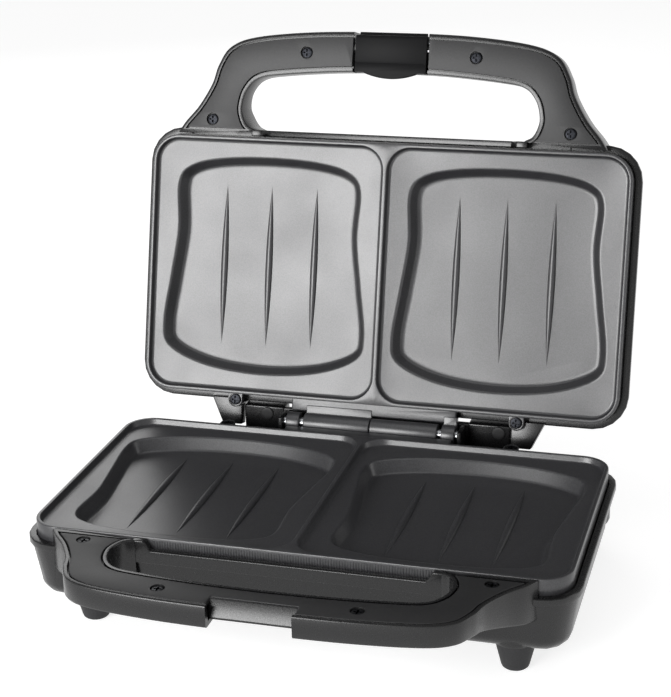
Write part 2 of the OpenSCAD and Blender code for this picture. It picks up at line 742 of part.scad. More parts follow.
module base_housing() {
    color("#1c1c1e") on_base() {
        difference() {
            union() {
                slab(shell_w, shell_d, shell_r, bead_z, -lip_drop);
                tub(wall_w, wall_d, wall_r, bead_z, bottom_z, base_draft, base_edge_r);
                translate([0, (deck_y + deck_front) / 2, 0])
                    tub(deck_w, deck_y - deck_front, deck_r, -deck_drop, bottom_z, base_draft, base_edge_r);
                for (p = feet)
                    translate([p[0], p[1] - (p[1] < 0 ? column_shift : 0), bottom_z])
                        cylinder(h = column_h, r = column_r);
                translate([-loop_root_half + 3, front, bead_z])
                    cube([2 * loop_root_half - 6, lip_w - well_gap, -bead_z - loop_lip_drop]);
                handle_frame(base_handle_t);
                both_sides() leg_fairing(base_handle_t, 27);
                both_sides() tower();
                both_sides() translate([pin_rib_x - 1, hinge_y - 6, -deck_drop - 1])
                    cube([2, 12, deck_drop + 1 + hinge_z + 4]);
                both_sides() ear_boss(-deck_drop - 1);
            }
            slab(plate_w + 2 * well_gap, plate_d + 2 * well_gap, plate_corner_r + well_gap,
                bead_z - 0.5, cut);
            tub(wall_w - 2 * shell_t, wall_d - 2 * shell_t, wall_r - shell_t,
                bead_z, bottom_z + shell_t, base_draft, base_edge_r - shell_t);
            translate([0, (deck_y + deck_front) / 2, 0])
                tub(deck_w - 2 * shell_t, deck_y - deck_front - 2 * shell_t, deck_r - shell_t,
                    -deck_drop - shell_t, bottom_z + shell_t, base_draft, base_edge_r - shell_t);
            plate_hook_slots();
            ear_screw_holes();
            for (x = plug_x)
                translate([x, tower_y, hinge_z]) rotate([-90, 0, 0]) translate([0, 0, -cut])
                    cylinder(h = shell_t + 2 * cut, r = plug_r - 0.7);
            translate([-base_notch_half, grip_y - cut, rim_z - base_handle_t - cut])
                cube([2 * base_notch_half, notch_d + 2.2, base_handle_t + 2 * cut]);
            translate([bush_x, bush_inner_y, bush_z]) rotate([-90, 0, 0])
                cylinder(h = bush_l, r = lead_r + bush_t + screw_gap);
            for (p = feet)
                translate([p[0], p[1], bottom_z - cut]) cylinder(h = foot_screw_grip + 1 + cut, r = foot_screw_r + screw_gap);
        }
        base_catch();
        foot_posts();
        terminal_post();
    }
}

// Catch in the base handle's notch: a sloping face with an undercut for the latch's hook
module base_catch() {
    translate([-base_notch_half - 1, 0, 0]) rotate([90, 0, 90]) linear_extrude(2 * base_notch_half + 2)
        polygon([
            [notch_y + 2.4, rim_z - cover_t - 2 * seat_gap], [notch_y + 0.2, rim_z - cover_t - 2 * seat_gap],
            [notch_y + 0.2, rim_z - 0.3], [notch_y - 0.6, rim_z - 0.3],
            [notch_y - catch_run, rim_z - catch_h], [notch_y - catch_run + 1.6, rim_z - catch_h],
            [notch_y + 0.4, rim_z - catch_h + 1.6], [notch_y + 0.4, rim_z - base_handle_t],
            [notch_y + 2.4, rim_z - base_handle_t]
        ]);
}

// Columns inside the base that take the foot screws
module foot_posts() {
    for (p = feet)
        translate([p[0], p[1], bottom_z + 1]) difference() {
            cylinder(h = foot_screw_grip + 3, r = 5);
            translate([0, 0, -cut]) cylinder(h = foot_screw_grip + 1, r = foot_screw_r + screw_gap);
        }
}

module terminal_post() {
    translate([bush_x, block_y, bottom_z + 1]) difference() {
        cylinder(h = terminal_z - bottom_z - 1, r = 4);
        translate([0, 0, 1.6]) cylinder(h = terminal_z - bottom_z - 1, r = 1.2);
    }
}

module foot(i) {
    color("#161617") on_base() translate([feet[i][0], feet[i][1], bottom_z]) difference() {
        translate([0, 0, -foot_h]) cylinder(h = foot_h, r1 = foot_floor_r, r2 = foot_top_r);
        translate([0, 0, -foot_h - cut]) cylinder(h = foot_h - foot_floor_t + cut, r = foot_bore_r);
        translate([0, 0, -foot_h]) cylinder(h = foot_h + cut, r = foot_screw_r + screw_gap);
    }
}

module foot_screws() {
    color("#8d9094") on_base() for (p = feet)
        translate([p[0], p[1], bottom_z - foot_floor_t]) {
            translate([0, 0, -2]) cylinder(h = 2, r = foot_bore_r - seat_gap);
            cylinder(h = foot_floor_t + foot_screw_grip, r = foot_screw_r);
        }
}

module base_plate() {
    color("#4a4a4c") on_base() plate_casting(hinge_z);
}

module base_heater() {
    color("#7b756c") on_base() heater_loop();
}

module base_heat_shield() {
    color("#b9bcc0") on_base() shield_tray();
}

module base_shield_screws() {
    color("#8d9094") on_base() shield_screw_set();
}

module base_plate_screws() {
    color("#6f7276") on_base() plate_screw_set();
}

module base_handle_cover() {
    color("#5a5b5d") on_base() difference() {
        cover_blank();
        translate([-base_notch_half - 1, grip_y, rim_z - cover_t - cut])
            cube([2 * base_notch_half + 2, notch_d + 0.6, cover_t + 2 * cut]);
    }
}

module base_handle_screws() {
    color("#3a3b3d") on_base() cover_screw_set();
}

module base_tower_plugs() {
    color("#56585b") on_base() for (x = plug_x)
        translate([x, tower_y, hinge_z]) rotate([90, 0, 0]) {
            cylinder(h = 1, r = plug_r);
            translate([0, 0, -shell_t]) cylinder(h = shell_t, r = plug_r - 0.7 - screw_gap);
        }
}

module base_terminal_block() {
    color("#d8d4c8") on_base() translate([bush_x, block_y, terminal_z]) difference() {
        translate([-block_w / 2, -block_d / 2, 0]) cube([block_w, block_d, block_h]);
        translate([0, 0, -cut]) cylinder(h = block_h + 2 * cut, r = 1.6);
        for (sx = [-1, 1])
            translate([sx * block_pitch / 2, -block_d / 2 - cut, block_h / 2]) rotate([-90, 0, 0])
                cylinder(h = block_d + 2 * cut, r = 1.7);
    }
}

module base_thermal_fuse() {
    color("#c8c2b4") on_base() translate([-heater_end_x, fuse_y, fuse_z]) rotate([90, 0, 0])
        cylinder(h = fuse_l, r = 2.2, center = true);
}

// Wire inside a housing: an eight-sided tube swept through the points
function unit(v) = v / norm(v);
module wire(points, r) {
    last = len(points) - 1;
    sides = 8;
    aside = [0.3, 0.5, 1];
    rings = [for (i = [0:last])
        let (way = unit(unit(points[min(i + 1, last)] - points[max(i - 1, 0)])
                + unit(points[max(i, 1)] - points[max(i, 1) - 1])),
            u = unit(cross(way, aside)), v = cross(way, u))
        for (k = [0:sides - 1]) points[i] + r * (cos(360 * k / sides) * u + sin(360 * k / sides) * v)];
    walls = [for (i = [0:last - 1], k = [0:sides - 1])
        let (a = i * sides + k, b = i * sides + (k + 1) % sides)
        each [[a, b, a + sides], [b, b + sides, a + sides]]];
    start = [for (k = [sides - 1:-1:0]) k];
    end = [for (k = [0:sides - 1]) last * sides + k];
    polyhedron(rings, concat(walls, [start, end]));
}

// The last points of a wire: up through the shield's hole to the face of a heater's end
function to_heater(x, z) = [
    [x, shield_hole_y - 2, shield_z - 3 * sheet_t], [x, shield_hole_y - 2, z - heater_r / 2],
    [x, shield_hole_y, z], [x, heater_end_y - seat_gap, z]
];

module base_wiring() {
    low = bottom_z + wire_h;
    left = bush_x - block_pitch / 2;
    right = bush_x + block_pitch / 2;
    start = block_y - block_d / 2 - seat_gap;
    fuse_front = fuse_y - fuse_l / 2 - seat_gap;
    fuse_rear = fuse_y + fuse_l / 2 + seat_gap;
    color("#a8443a") on_base() {
        wire(concat([[left, start, low], [left, start - 12, low], [heater_end_x, start - 26, low]],
            to_heater(heater_end_x, heater_z)), wire_r);
        wire([[right, start, low], [right, start - 8, low - 3], [right - 8, start - 20, low - 4],
            [6, -14, low - 4], [-heater_end_x + 4, fuse_front - 8, low],
            [-heater_end_x, fuse_front - 5, fuse_z], [-heater_end_x, fuse_front, fuse_z]], wire_r);
        wire(concat([[-heater_end_x, fuse_rear, fuse_z], [-heater_end_x, fuse_rear + 5, fuse_z]],
            to_heater(-heater_end_x, heater_z)), wire_r);
    }
}

module cord_bush() {
    color("#141415") on_base() translate([bush_x, bush_inner_y, bush_z]) rotate([-90, 0, 0]) difference() {
        union() {
            cylinder(h = bush_l, r = lead_r + bush_t);
            cylinder(h = bush_flange[1], r = bush_flange_r);
            translate([0, 0, bush_outer_y - bush_inner_y]) cylinder(h = bush_flange[1], r = bush_flange_r);
        }
        translate([0, 0, -cut]) cylinder(h = bush_l + 2 * cut, r = lead_r);
    }
}

module hinge_pin() {
    end = pin_rib_x - 1 - seat_gap;
    color("#c9ccd0") on_base() bar_x(-end, end, hinge_y, hinge_z, hinge_pin_r);
}

// Hinge arm of the lid, drawn as for the base and then turned over
module lid_arm() {
    rear = shell_d / 2 - 1.6;
    translate([0, 0, -arm_z - arm_t]) linear_extrude(arm_t)
        polygon([[arm_in, rear], [arm_out, rear], [arm_tip, arm_tip_y], [arm_in, arm_tip_y]]);
}

module lid_housing() {
    color("#1a1a1c") on_lid() mirror([0, 0, 1]) difference() {
        union() {
            slab(shell_w, shell_d, shell_r, bead_z, -lip_drop);
            tub(wall_w, wall_d, wall_r, bead_z, -lid_h, lid_draft, lid_edge_r);
            translate([-loop_root_half + 3, front, bead_z])
                cube([2 * loop_root_half - 6, lip_w - well_gap, -bead_z - loop_lip_drop]);
            handle_frame(lid_handle_t);
            both_sides() leg_fairing(lid_handle_t, 26);
            both_sides() lid_arm();
            both_sides() ear_boss(-lip_drop - 6);
            translate([-lid_notch_half - shell_t, grip_y + 0.6, rim_z - lid_handle_t])
                cube([2 * (lid_notch_half + shell_t), grip_d - 0.6, lid_handle_t]);
        }
        slab(plate_w + 2 * well_gap, plate_d + 2 * well_gap, plate_corner_r + well_gap,
            bead_z - 0.5, cut);
        tub(wall_w - 2 * shell_t, wall_d - 2 * shell_t, wall_r - shell_t,
            bead_z, -lid_h + shell_t, lid_draft, lid_edge_r - shell_t);
        plate_hook_slots();
        translate([0, panel_y, 0])
            slab(panel_w + 2 * seat_gap, panel_d + 2 * seat_gap, panel_r + seat_gap, -lid_h - cut, -lid_h + 1);
        for (sx = [-1, 1])
            translate([sx * lens_pitch / 2, lens_y, -lid_h - cut])
                cylinder(h = shell_t + 2 * cut, r = lens_r + screw_gap);
        ear_screw_holes();
        latch_recess();
    }
}

// Room for the latch in the lid handle: a notch right through and a recess behind it
module latch_recess() {
    translate([-lid_notch_half, grip_y - cut, rim_z - lid_handle_t - cut])
        cube([2 * lid_notch_half, notch_d + cut, lid_handle_t + 2 * cut]);
    translate([-lid_notch_half, grip_y - cut, -latch_z - 2.8])
        cube([2 * lid_notch_half, grip_d + 3 * cut, latch_z + 2.8 + cut]);
    bar_x(-lid_notch_half - shell_t + 0.6, lid_notch_half + shell_t - 0.6, latch_y, -latch_z,
        latch_pin_r + pin_gap);
}

module lid_plate() {
    color("#8e8e90") on_lid() turned() plate_casting(-hinge_z);
}

module lid_heater() {
    color("#7b756c") on_lid() turned() heater_loop();
}

module lid_heat_shield() {
    color("#b9bcc0") on_lid() turned() shield_tray();
}

module lid_shield_screws() {
    color("#8d9094") on_lid() turned() shield_screw_set();
}

module lid_plate_screws() {
    color("#6f7276") on_lid() turned() plate_screw_set();
}

module lid_handle_cover(side) {
    color("#6a6b6d") on_lid() turned() difference() {
        cover_blank();
        translate([-lid_notch_half - shell_t - cover_gap, grip_y - cut, rim_z - cover_t - cut])
            cube([2 * (lid_notch_half + shell_t + cover_gap), grip_d + 3 * cut, cover_t + 2 * cut]);
        translate([side < 0 ? -far : 0, -far, -far]) cube([far, 2 * far, 2 * far]);
    }
}

module lid_handle_screws() {
    color("#3a3b3d") on_lid() turned() cover_screw_set();
}

module lid_panel() {
    color("#c3c5c8") on_lid() translate([0, panel_y, 0])
        slab(panel_w, panel_d, panel_r, lid_h - 1, lid_h - 0.2);
}

// Bimetal thermostat on a stud on the lid's shield
module lid_thermostat() {
    low = -shield_z + sheet_t;
    stud = 1.8 + seat_gap;
    on_lid() translate([thermostat_x, thermostat_y, low]) {
        color("#cfc8b8") translate([0, 0, stud]) {
            cylinder(h = 6.5, r = thermostat_r);
            translate([-thermostat_r - 2, -4, 1]) cube([2 * thermostat_r + 4, 8, 1.2]);
        }
        color("#8d9094") cylinder(h = stud, r = 3);
    }
}

module lens() {
    cylinder(h = shell_t + 1, r = lens_r);
    translate([0, 0, -1]) cylinder(h = 1, r = lens_r + 0.8);
}

module lid_power_lens() {
    color("#b3241c") on_lid() translate([-lens_pitch / 2, lens_y, lid_h - shell_t]) lens();
}

module lid_ready_lens() {
    color("#2f9e44") on_lid() translate([lens_pitch / 2, lens_y, lid_h - shell_t]) lens();
}

// Neon lamps behind the lenses
module lid_lamps() {
    color("#e6c9a8") on_lid() for (sx = [-1, 1])
        translate([sx * lens_pitch / 2, lens_y, lid_h - shell_t - lamp_drop]) {
            cylinder(h = 6.4, r = 2.2);
            translate([0, 0, 6.4]) cylinder(h = 1.8, r1 = 2.2, r2 = 1);
        }
}

module lid_wiring() {
    low = -shield_z + sheet_t + 4;
    lamp_z = lid_h - shell_t - lamp_drop;
    left = -lens_pitch / 2;
    right = lens_pitch / 2;
    thin_r = wire_r - 0.4;
    color("#a8443a") on_lid() {
        wire(concat([[thermostat_x + thermostat_r + 2 + seat_gap, thermostat_y, low + 1],
            [thermostat_x + thermostat_r + 8, thermostat_y, low + 1],
            [-heater_end_x - 2, shield_hole_y, low + 2]],
            turned_up(to_heater(-heater_end_x, heater_z))), wire_r);
        wire([[left, lens_y, lamp_z], [left, lens_y, lamp_z - 2], [left, lens_y + 14, low + 4],
            [thermostat_x + 4, thermostat_y - thermostat_r - 8, low + 3],
            [thermostat_x, thermostat_y - thermostat_r - 4, low + 3],
            [thermostat_x, thermostat_y - thermostat_r - seat_gap, low + 3]], thin_r);
        wire(concat([[right, lens_y, lamp_z], [right, lens_y, lamp_z - 2], [right, lens_y + 14, low + 4],
            [heater_end_x, shield_hole_y - 8, low + 2]], turned_up(to_heater(heater_end_x, heater_z))), thin_r);
    }
}

// Points drawn for the base with their heights turned over for the lid
function turned_up(p) = [for (q = p) [q[0], q[1], -q[2]]];

// Latch, drawn folded away in the lid handle's recess
module latch() {
    top = latch_z - 1.6;
    low = top - latch_t;
    hook_y = latch_y + catch_h + move_gap + latch_z - rim_z;
    hook_top = latch_z + 2.2;
    tab_half = 15.5;
    tab_r = 40;
    tab_turn = asin(tab_half / tab_r);
    lift = 38;
    heel_root = latch_pin_r + 1;
    color("#2a2a2c") on_lid() difference() {
        union() {
            bar_x(-latch_half, latch_half, latch_y, latch_z, latch_barrel_r);
            translate([-latch_half, 0, 0]) rotate([90, 0, 90]) linear_extrude(2 * latch_half) polygon([
                [latch_y - 2.6, latch_z], [latch_y - 2.6, low], [hook_y + hook_t, low],
                [hook_y + hook_t, hook_top], [hook_y, hook_top], [hook_y, top], [latch_y + 2, top],
                [latch_y + 2, latch_z]
            ]);
            translate([0, latch_y + latch_reach - tab_r, low]) linear_extrude(latch_t) polygon(concat(
                [[tab_half, tab_r - latch_reach + 8], [tab_half, tab_r * cos(tab_turn)]],
                [for (k = [1:11]) let (a = tab_turn * (1 - k / 6)) [tab_r * sin(a), tab_r * cos(a)]],
                [[-tab_half, tab_r * cos(tab_turn)], [-tab_half, tab_r - latch_reach + 8]]));
            // heel that meets the notch's rear wall when the latch is swung right out
            translate([1 - latch_half, latch_y, latch_z]) rotate([latch_angle + lift, 0, 0])
                translate([0, heel_root, 0])
                    cube([2 * latch_half - 2, (notch_d - latch_back - move_gap) / cos(lift) - heel_root, 1.5]);
        }
        bar_x(-latch_half - cut, latch_half + cut, latch_y, latch_z, latch_pin_r + pin_gap);
    }
}

module latch_pin() {
    half = lid_notch_half + shell_t - 0.8;
    color("#c9ccd0") on_lid() bar_x(-half, half, latch_y, latch_z, latch_pin_r);
}

base_housing();
base_plate();
base_heater();
base_heat_shield();
base_shield_screws();
base_plate_screws();
base_handle_cover();
base_handle_screws();
base_tower_plugs();
base_terminal_block();
base_thermal_fuse();
base_wiring();
cord_bush();
foot(0);  // foot_front_left
foot(1);  // foot_front_right
foot(2);  // foot_rear_left
foot(3);  // foot_rear_right
foot_screws();
hinge_pin();
lid_housing();
lid_panel();
lid_plate();
lid_heater();
lid_heat_shield();
lid_shield_screws();
lid_plate_screws();
lid_handle_cover(-1);  // lid_handle_cover_left
lid_handle_cover(1);  // lid_handle_cover_right
lid_handle_screws();
lid_thermostat();
lid_power_lens();
lid_ready_lens();
lid_lamps();
lid_wiring();
latch();
latch_pin();
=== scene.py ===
"""Looks of a countertop cooker with two hinged plates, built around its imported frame.

Pieces are drawn in millimetres about the parting plane of the closed cooker: x to the right, y to the
back, z up, with z = 0 between the plates. The base's pieces hang below that plane. The lid's pieces are
drawn like the base's and turned over, because both halves are cast and moulded alike.
"""
import json
import math

import bmesh
import bpy
from mathutils import Matrix, Vector


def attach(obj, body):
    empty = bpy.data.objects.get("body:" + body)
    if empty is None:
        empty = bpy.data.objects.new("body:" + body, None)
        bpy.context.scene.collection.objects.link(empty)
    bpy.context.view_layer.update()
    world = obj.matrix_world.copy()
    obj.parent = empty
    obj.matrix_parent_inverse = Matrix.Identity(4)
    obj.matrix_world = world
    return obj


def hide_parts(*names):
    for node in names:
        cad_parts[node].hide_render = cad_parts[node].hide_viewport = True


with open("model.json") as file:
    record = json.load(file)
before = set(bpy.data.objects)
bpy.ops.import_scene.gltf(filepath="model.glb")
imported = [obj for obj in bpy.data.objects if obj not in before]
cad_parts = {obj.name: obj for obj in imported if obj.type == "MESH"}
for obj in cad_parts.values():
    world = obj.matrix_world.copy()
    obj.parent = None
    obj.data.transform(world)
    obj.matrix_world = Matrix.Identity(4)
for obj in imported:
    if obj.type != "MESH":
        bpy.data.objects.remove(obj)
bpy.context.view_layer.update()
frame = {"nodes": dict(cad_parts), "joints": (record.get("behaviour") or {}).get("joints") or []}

# Main sizes, in millimetres, as the solids have them
PLATE_W, PLATE_D, PLATE_R = 270, 144.4, 15
RIM_Z = -0.25
SKIRT = 9.5
CAST = 2.2
RIM_W = 1.8
FIELD_Z = RIM_Z - 3.3
POCKET_Z = FIELD_Z - 7.5
DIVIDER = 2
POCKET_X = PLATE_W / 4 - RIM_W / 2 + DIVIDER / 4
RIDGE_L, RIDGE_W, RIDGE_H, RIDGE_PITCH = 90, 4, 1.7, 26.4
LIP_W, LIP_Z, BEAD_Z = 4.2, -8.4, -12.4
SHELL_W, SHELL_D, SHELL_R = PLATE_W + 2 * LIP_W, PLATE_D + 2 * LIP_W, PLATE_R + LIP_W
FRONT = -SHELL_D / 2
BEAD_STEP = 1.6
WALL = 2.4
BASE_H, BASE_DRAFT, BASE_EDGE = 40, 3, 8.5
LID_H, LID_DRAFT, LID_EDGE = 38, 12, 10
DECK_Y, DECK_HALF, DECK_Z = SHELL_D / 2 + 29, 124, -16
HINGE_Y, HINGE_Z, KNUCKLE_R = PLATE_D / 2 + 12.8, -1.1, 5.6
GRIP_Y = FRONT - 55.8
GRIP_HALF, ROOT_HALF, GRIP_D = 98.3, 120.4, 21.7
LOOP_HALF, LOOP_ROOT, LIP_END = 83.4, 76, 72.6
HANDLE_BACK = -PLATE_D / 2 - 1.4
FRAME_W, LEDGE_W, COVER_T, COVER_GAP = 2.1, 1.3, 2.6, 0.9
BASE_HANDLE_T, LID_HANDLE_T = 11.6, 15
BASE_NOTCH, LID_NOTCH = 20.3, 21
NOTCH_Y = GRIP_Y + 9.7
CATCH_H, CATCH_RUN = 8.2, 4.4
LATCH_HALF, LATCH_Y, LATCH_Z = 19.9, GRIP_Y + 5.2, 5.2
LATCH_T, LATCH_REACH, LATCH_BARREL = 3, 20, 3.6
EAR_X, EAR_Y = 80.4, PLATE_D / 2 + 3.3
FOOT_H = 15

# Places of the two halves, from the joint between them
hinge = next(j for j in frame["joints"] if j["name"] == "lid_hinge")
OPEN = math.radians(hinge["range_deg"][1])
AT_HINGE = Matrix.Translation(hinge["pos_m"])
FROM_HINGE = Matrix.Scale(0.001, 4) @ Matrix.Translation((0, -HINGE_Y, -HINGE_Z))
BASE = AT_HINGE @ FROM_HINGE
LID = AT_HINGE @ Matrix.Rotation(-OPEN, 4, "X") @ FROM_HINGE
TURNED = LID @ Matrix.Rotation(math.pi, 4, "Y")


# Camera

CAMERA_AT = BASE @ Vector((237.764, -799.785, 384.603))
CAMERA_AZIMUTH, CAMERA_ELEVATION, CAMERA_ROLL = 0.282737, 0.353490, -0.024168
FOCAL_PX = 1792.45
FRAME_PX = 697


def add_camera():
    data = bpy.data.cameras.new("camera")
    data.sensor_width = 36
    data.lens = 36 * FOCAL_PX / FRAME_PX
    data.clip_end = 50
    camera = bpy.data.objects.new("camera", data)
    bpy.context.scene.collection.objects.link(camera)
    turn = Matrix.Rotation(CAMERA_AZIMUTH, 4, "Z") @ Matrix.Rotation(math.pi / 2 - CAMERA_ELEVATION, 4, "X")
    camera.matrix_world = Matrix.Translation(CAMERA_AT) @ turn @ Matrix.Rotation(CAMERA_ROLL, 4, "Z")
    bpy.context.scene.camera = camera


add_camera()


# Outlines, as lists of (x, y) that run counterclockwise


def rounded_rect(w, d, r, n):
    """n points evenly spaced round a rounded rectangle, from the middle of its front edge."""
    r = max(r, 0.01)
    straight_x, straight_y, arc = w / 2 - r, d / 2 - r, math.pi / 2 * r
    corners = [(1, -1, -90), (1, 1, 0), (-1, 1, 90), (-1, -1, 180)]
    dense = [(0, -d / 2)]
    steps = 24
    for sx, sy, start in corners:
        for k in range(steps + 1):
            a = math.radians(start + 90 * k / steps)
            dense.append((sx * straight_x + r * math.cos(a), sy * straight_y + r * math.sin(a)))
    return resample(dense, n)


def resample(points, n):
    """n points evenly spaced along a closed outline, from its first point."""
    ends = points[1:] + points[:1]
    lengths = [math.dist(a, b) for a, b in zip(points, ends)]
    total = sum(lengths)
    out, k, before = [], 0, 0.0
    for i in range(n):
        target = total * i / n
        while before + lengths[k] < target:
            before += lengths[k]
            k += 1
        share = (target - before) / max(lengths[k], 1e-9)
        a, b = points[k], ends[k]
        out.append((a[0] + (b[0] - a[0]) * share, a[1] + (b[1] - a[1]) * share))
    return out


def spread(points, n):
    """n points evenly along an open curve, both ends kept."""
    lengths = [0.0]
    for a, b in zip(points, points[1:]):
        lengths.append(lengths[-1] + math.dist(a, b))
    out, k = [], 0
    for step in range(n):
        at = lengths[-1] * step / (n - 1)
        while k < len(points) - 2 and lengths[k + 1] < at:
            k += 1
        share = min((at - lengths[k]) / max(lengths[k + 1] - lengths[k], 1e-9), 1)
        out.append(tuple(p + (q - p) * share for p, q in zip(points[k], points[k + 1])))
    return out


def blend(a, b, c, d, t):
    """A point of the smooth curve from b to c."""
    return tuple(
        0.5 * (2 * q + (r - p) * t + (2 * p - 5 * q + 4 * r - s) * t * t + (3 * q - p - 3 * r + s) * t ** 3)
        for p, q, r, s in zip(a, b, c, d)
    )


def open_curve(p, n):
    last = len(p) - 1
    out = [
        blend(p[max(i - 1, 0)], p[i], p[i + 1], p[min(i + 2, last)], k / n)
        for i in range(last)
        for k in range(n)
    ]
    return out + [p[-1]]


def loop_curve(p, n):
    m = len(p)
    return [
        blend(p[(i - 1) % m], p[i], p[(i + 1) % m], p[(i + 2) % m], k / n)
        for i in range(m)
        for k in range(n)
    ]


def flip(points):
    return [(-x, y) for x, y in reversed(points)]


def normals(points, closed=True):
    """The outward unit normal at each point, stretched at corners so that an offset keeps its width."""
    m = len(points)

    def side(a, b):
        length = max(math.dist(a, b), 1e-9)
        return (b[1] - a[1]) / length, (a[0] - b[0]) / length

    out = []
    for i in range(m):
        before = side(points[i - 1], points[i]) if closed or i else None
        after = side(points[i], points[(i + 1) % m]) if closed or i < m - 1 else before
        before = before or after
        scale = 1 + before[0] * after[0] + before[1] * after[1]
        out.append(((before[0] + after[0]) / scale, (before[1] + after[1]) / scale))
    return out


def offset(points, d, closed=True):
    return [(x + d * u, y + d * v) for (x, y), (u, v) in zip(points, normals(points, closed))]


# Modelling


def deselect():
    if bpy.context.object and bpy.context.object.mode == "EDIT":
        bpy.ops.object.mode_set(mode="OBJECT")
    bpy.ops.object.select_all(action="DESELECT")


def only(piece):
    deselect()
    piece.select_set(True)
    bpy.context.view_layer.objects.active = piece


def place_selected(piece, points):
    mesh = bmesh.from_edit_mesh(piece.data)
    for vertex, point in zip([v for v in mesh.verts if v.select], points):
        vertex.co = point
    bmesh.update_edit_mesh(piece.data)


def loft(name, loops):
    """A solid skin over loops of (x, y, z) points, made by extruding the first loop and placing each new one."""
    deselect()
    bpy.ops.mesh.primitive_circle_add(vertices=len(loops[0]), fill_type="NGON")
    piece = bpy.context.object
    piece.name = name
    bpy.ops.object.mode_set(mode="EDIT")
    place_selected(piece, loops[0])
    for points in loops[1:]:
        bpy.ops.mesh.extrude_region_move()
        place_selected(piece, points)
    bpy.ops.mesh.select_all(action="SELECT")
    bpy.ops.mesh.remove_doubles(threshold=1e-4)
    bpy.ops.mesh.normals_make_consistent(inside=False)
    bpy.ops.object.mode_set(mode="OBJECT")
    return piece


def rings(outline, steps):
    """Loops for loft() from one outline and steps of (outward offset, z)."""
    return [[(x, y, z) for x, y in offset(outline, d)] for d, z in steps]


def prism(name, outline, low, high):
    return loft(name, [[(x, y, z) for x, y in outline] for z in (low, high)])


def block(name, low, high, bevel=0.0, segments=3):
    """A box between two corners, with its edges rounded."""
    deselect()
    centre = [(a + b) / 2 for a, b in zip(low, high)]
    bpy.ops.mesh.primitive_cube_add(size=1, location=centre)
    piece = bpy.context.object
    piece.name = name
    piece.scale = [b - a for a, b in zip(low, high)]
    bpy.ops.object.transform_apply(location=True, rotation=True, scale=True)
    if bevel:
        round_edges(piece, bevel, segments)
    return piece


def rod(name, start, end, radius, vertices=48, bevel=0.0):
    """A round bar between two points."""
    deselect()
    a, b = Vector(start), Vector(end)
    bpy.ops.mesh.primitive_cylinder_add(vertices=vertices, radius=radius, depth=(b - a).length)
    piece = bpy.context.object
    piece.name = name
    piece.matrix_world = Matrix.Translation((a + b) / 2) @ (b - a).to_track_quat("Z", "Y").to_matrix().to_4x4()
    bpy.ops.object.transform_apply(location=True, rotation=True, scale=True)
    if bevel:
        round_edges(piece, bevel, 3)
    return piece


def turned_piece(name, profile, vertices=48):
    """A body of revolution about z from (radius, z) points, closed at both ends on the axis."""
    loops = [
        [
            (r * math.cos(2 * math.pi * k / vertices), r * math.sin(2 * math.pi * k / vertices), z)
            for k in range(vertices)
        ]
        for r, z in profile
    ]
    return loft(name, loops)


def apply(piece, kind, **settings):
    """Adds a modifier with its settings and applies it."""
    only(piece)
    modifier = piece.modifiers.new(kind.lower(), kind)
    for key, value in settings.items():
        setattr(modifier, key, value)
    bpy.ops.object.modifier_apply(modifier=modifier.name)


def round_edges(piece, width, segments=3, angle=35):
    apply(
        piece, "BEVEL", width=width, segments=segments, limit_method="ANGLE", angle_limit=math.radians(angle),
        use_clamp_overlap=True, harden_normals=False,
    )


def cut(piece, *tools):
    for tool in tools:
        apply(piece, "BOOLEAN", operation="DIFFERENCE", object=tool, solver="MANIFOLD")
        bpy.data.objects.remove(tool)
    return piece


def weld(piece, *others):
    for other in others:
        apply(piece, "BOOLEAN", operation="UNION", object=other, solver="MANIFOLD")
        bpy.data.objects.remove(other)
    return piece


def join(piece, *others):
    """Puts separate solids of one piece into one object."""
    deselect()
    for other in others:
        other.select_set(True)
    piece.select_set(True)
    bpy.context.view_layer.objects.active = piece
    bpy.ops.object.join()
    return piece


def copy_at(piece, places):
    """Joins copies of a piece, moved to each place, and removes the pattern piece."""
    copies = []
    for place in places:
        twin = piece.copy()
        twin.data = piece.data.copy()
        bpy.context.scene.collection.objects.link(twin)
        twin.data.transform(Matrix.Translation(place))
        copies.append(twin)
    bpy.data.objects.remove(piece)
    return join(copies[0], *copies[1:]) if len(copies) > 1 else copies[0]


def settle(piece, name, body, place, material, replaced, smooth=32):
    """Puts a finished piece, drawn in millimetres, in its place on a body."""
    only(piece)
    piece.name = name
    piece.data.name = name
    piece.data.transform(place)
    bpy.ops.object.shade_smooth_by_angle(angle=math.radians(smooth))
    piece.data.materials.clear()
    piece.data.materials.append(material)
    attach(piece, body)
    if replaced:
        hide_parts(*replaced)
    return piece


# Materials


def linear(code):
    """Linear colour of an sRGB hex code."""
    channels = [int(code[i:i + 2], 16) / 255 for i in (1, 3, 5)]
    return [c / 12.92 if c <= 0.04045 else ((c + 0.055) / 1.055) ** 2.4 for c in channels] + [1.0]


def add(material, kind, settings=None, **links):
    """Adds a node, with its settings by attribute or socket name, and links named sockets to outputs."""
    tree = material.node_tree
    made = tree.nodes.new(kind)
    for key, value in (settings or {}).items():
        if hasattr(made, key):
            setattr(made, key, value)
        else:
            made.inputs[key].default_value = value
    for key, output in links.items():
        tree.links.new(output, made.inputs[key.replace("_", " ")])
    return made


def new_material(name, color, roughness, metallic=0.0, **more):
    material = bpy.data.materials.new(name)
    material.use_nodes = True
    shader = material.node_tree.nodes["Principled BSDF"]
    shader.inputs["Base Color"].default_value = linear(color)
    shader.inputs["Roughness"].default_value = roughness
    shader.inputs["Metallic"].default_value = metallic
    for key, value in more.items():
        shader.inputs[key.replace("_", " ")].default_value = value
    return material, shader


def millimetres(material):
    """Object coordinates in millimetres."""
    where = add(material, "ShaderNodeTexCoord")
    return add(
        material, "ShaderNodeMapping", {"Scale": (1000, 1000, 1000)}, Vector=where.outputs["Object"]
    ).outputs["Vector"]


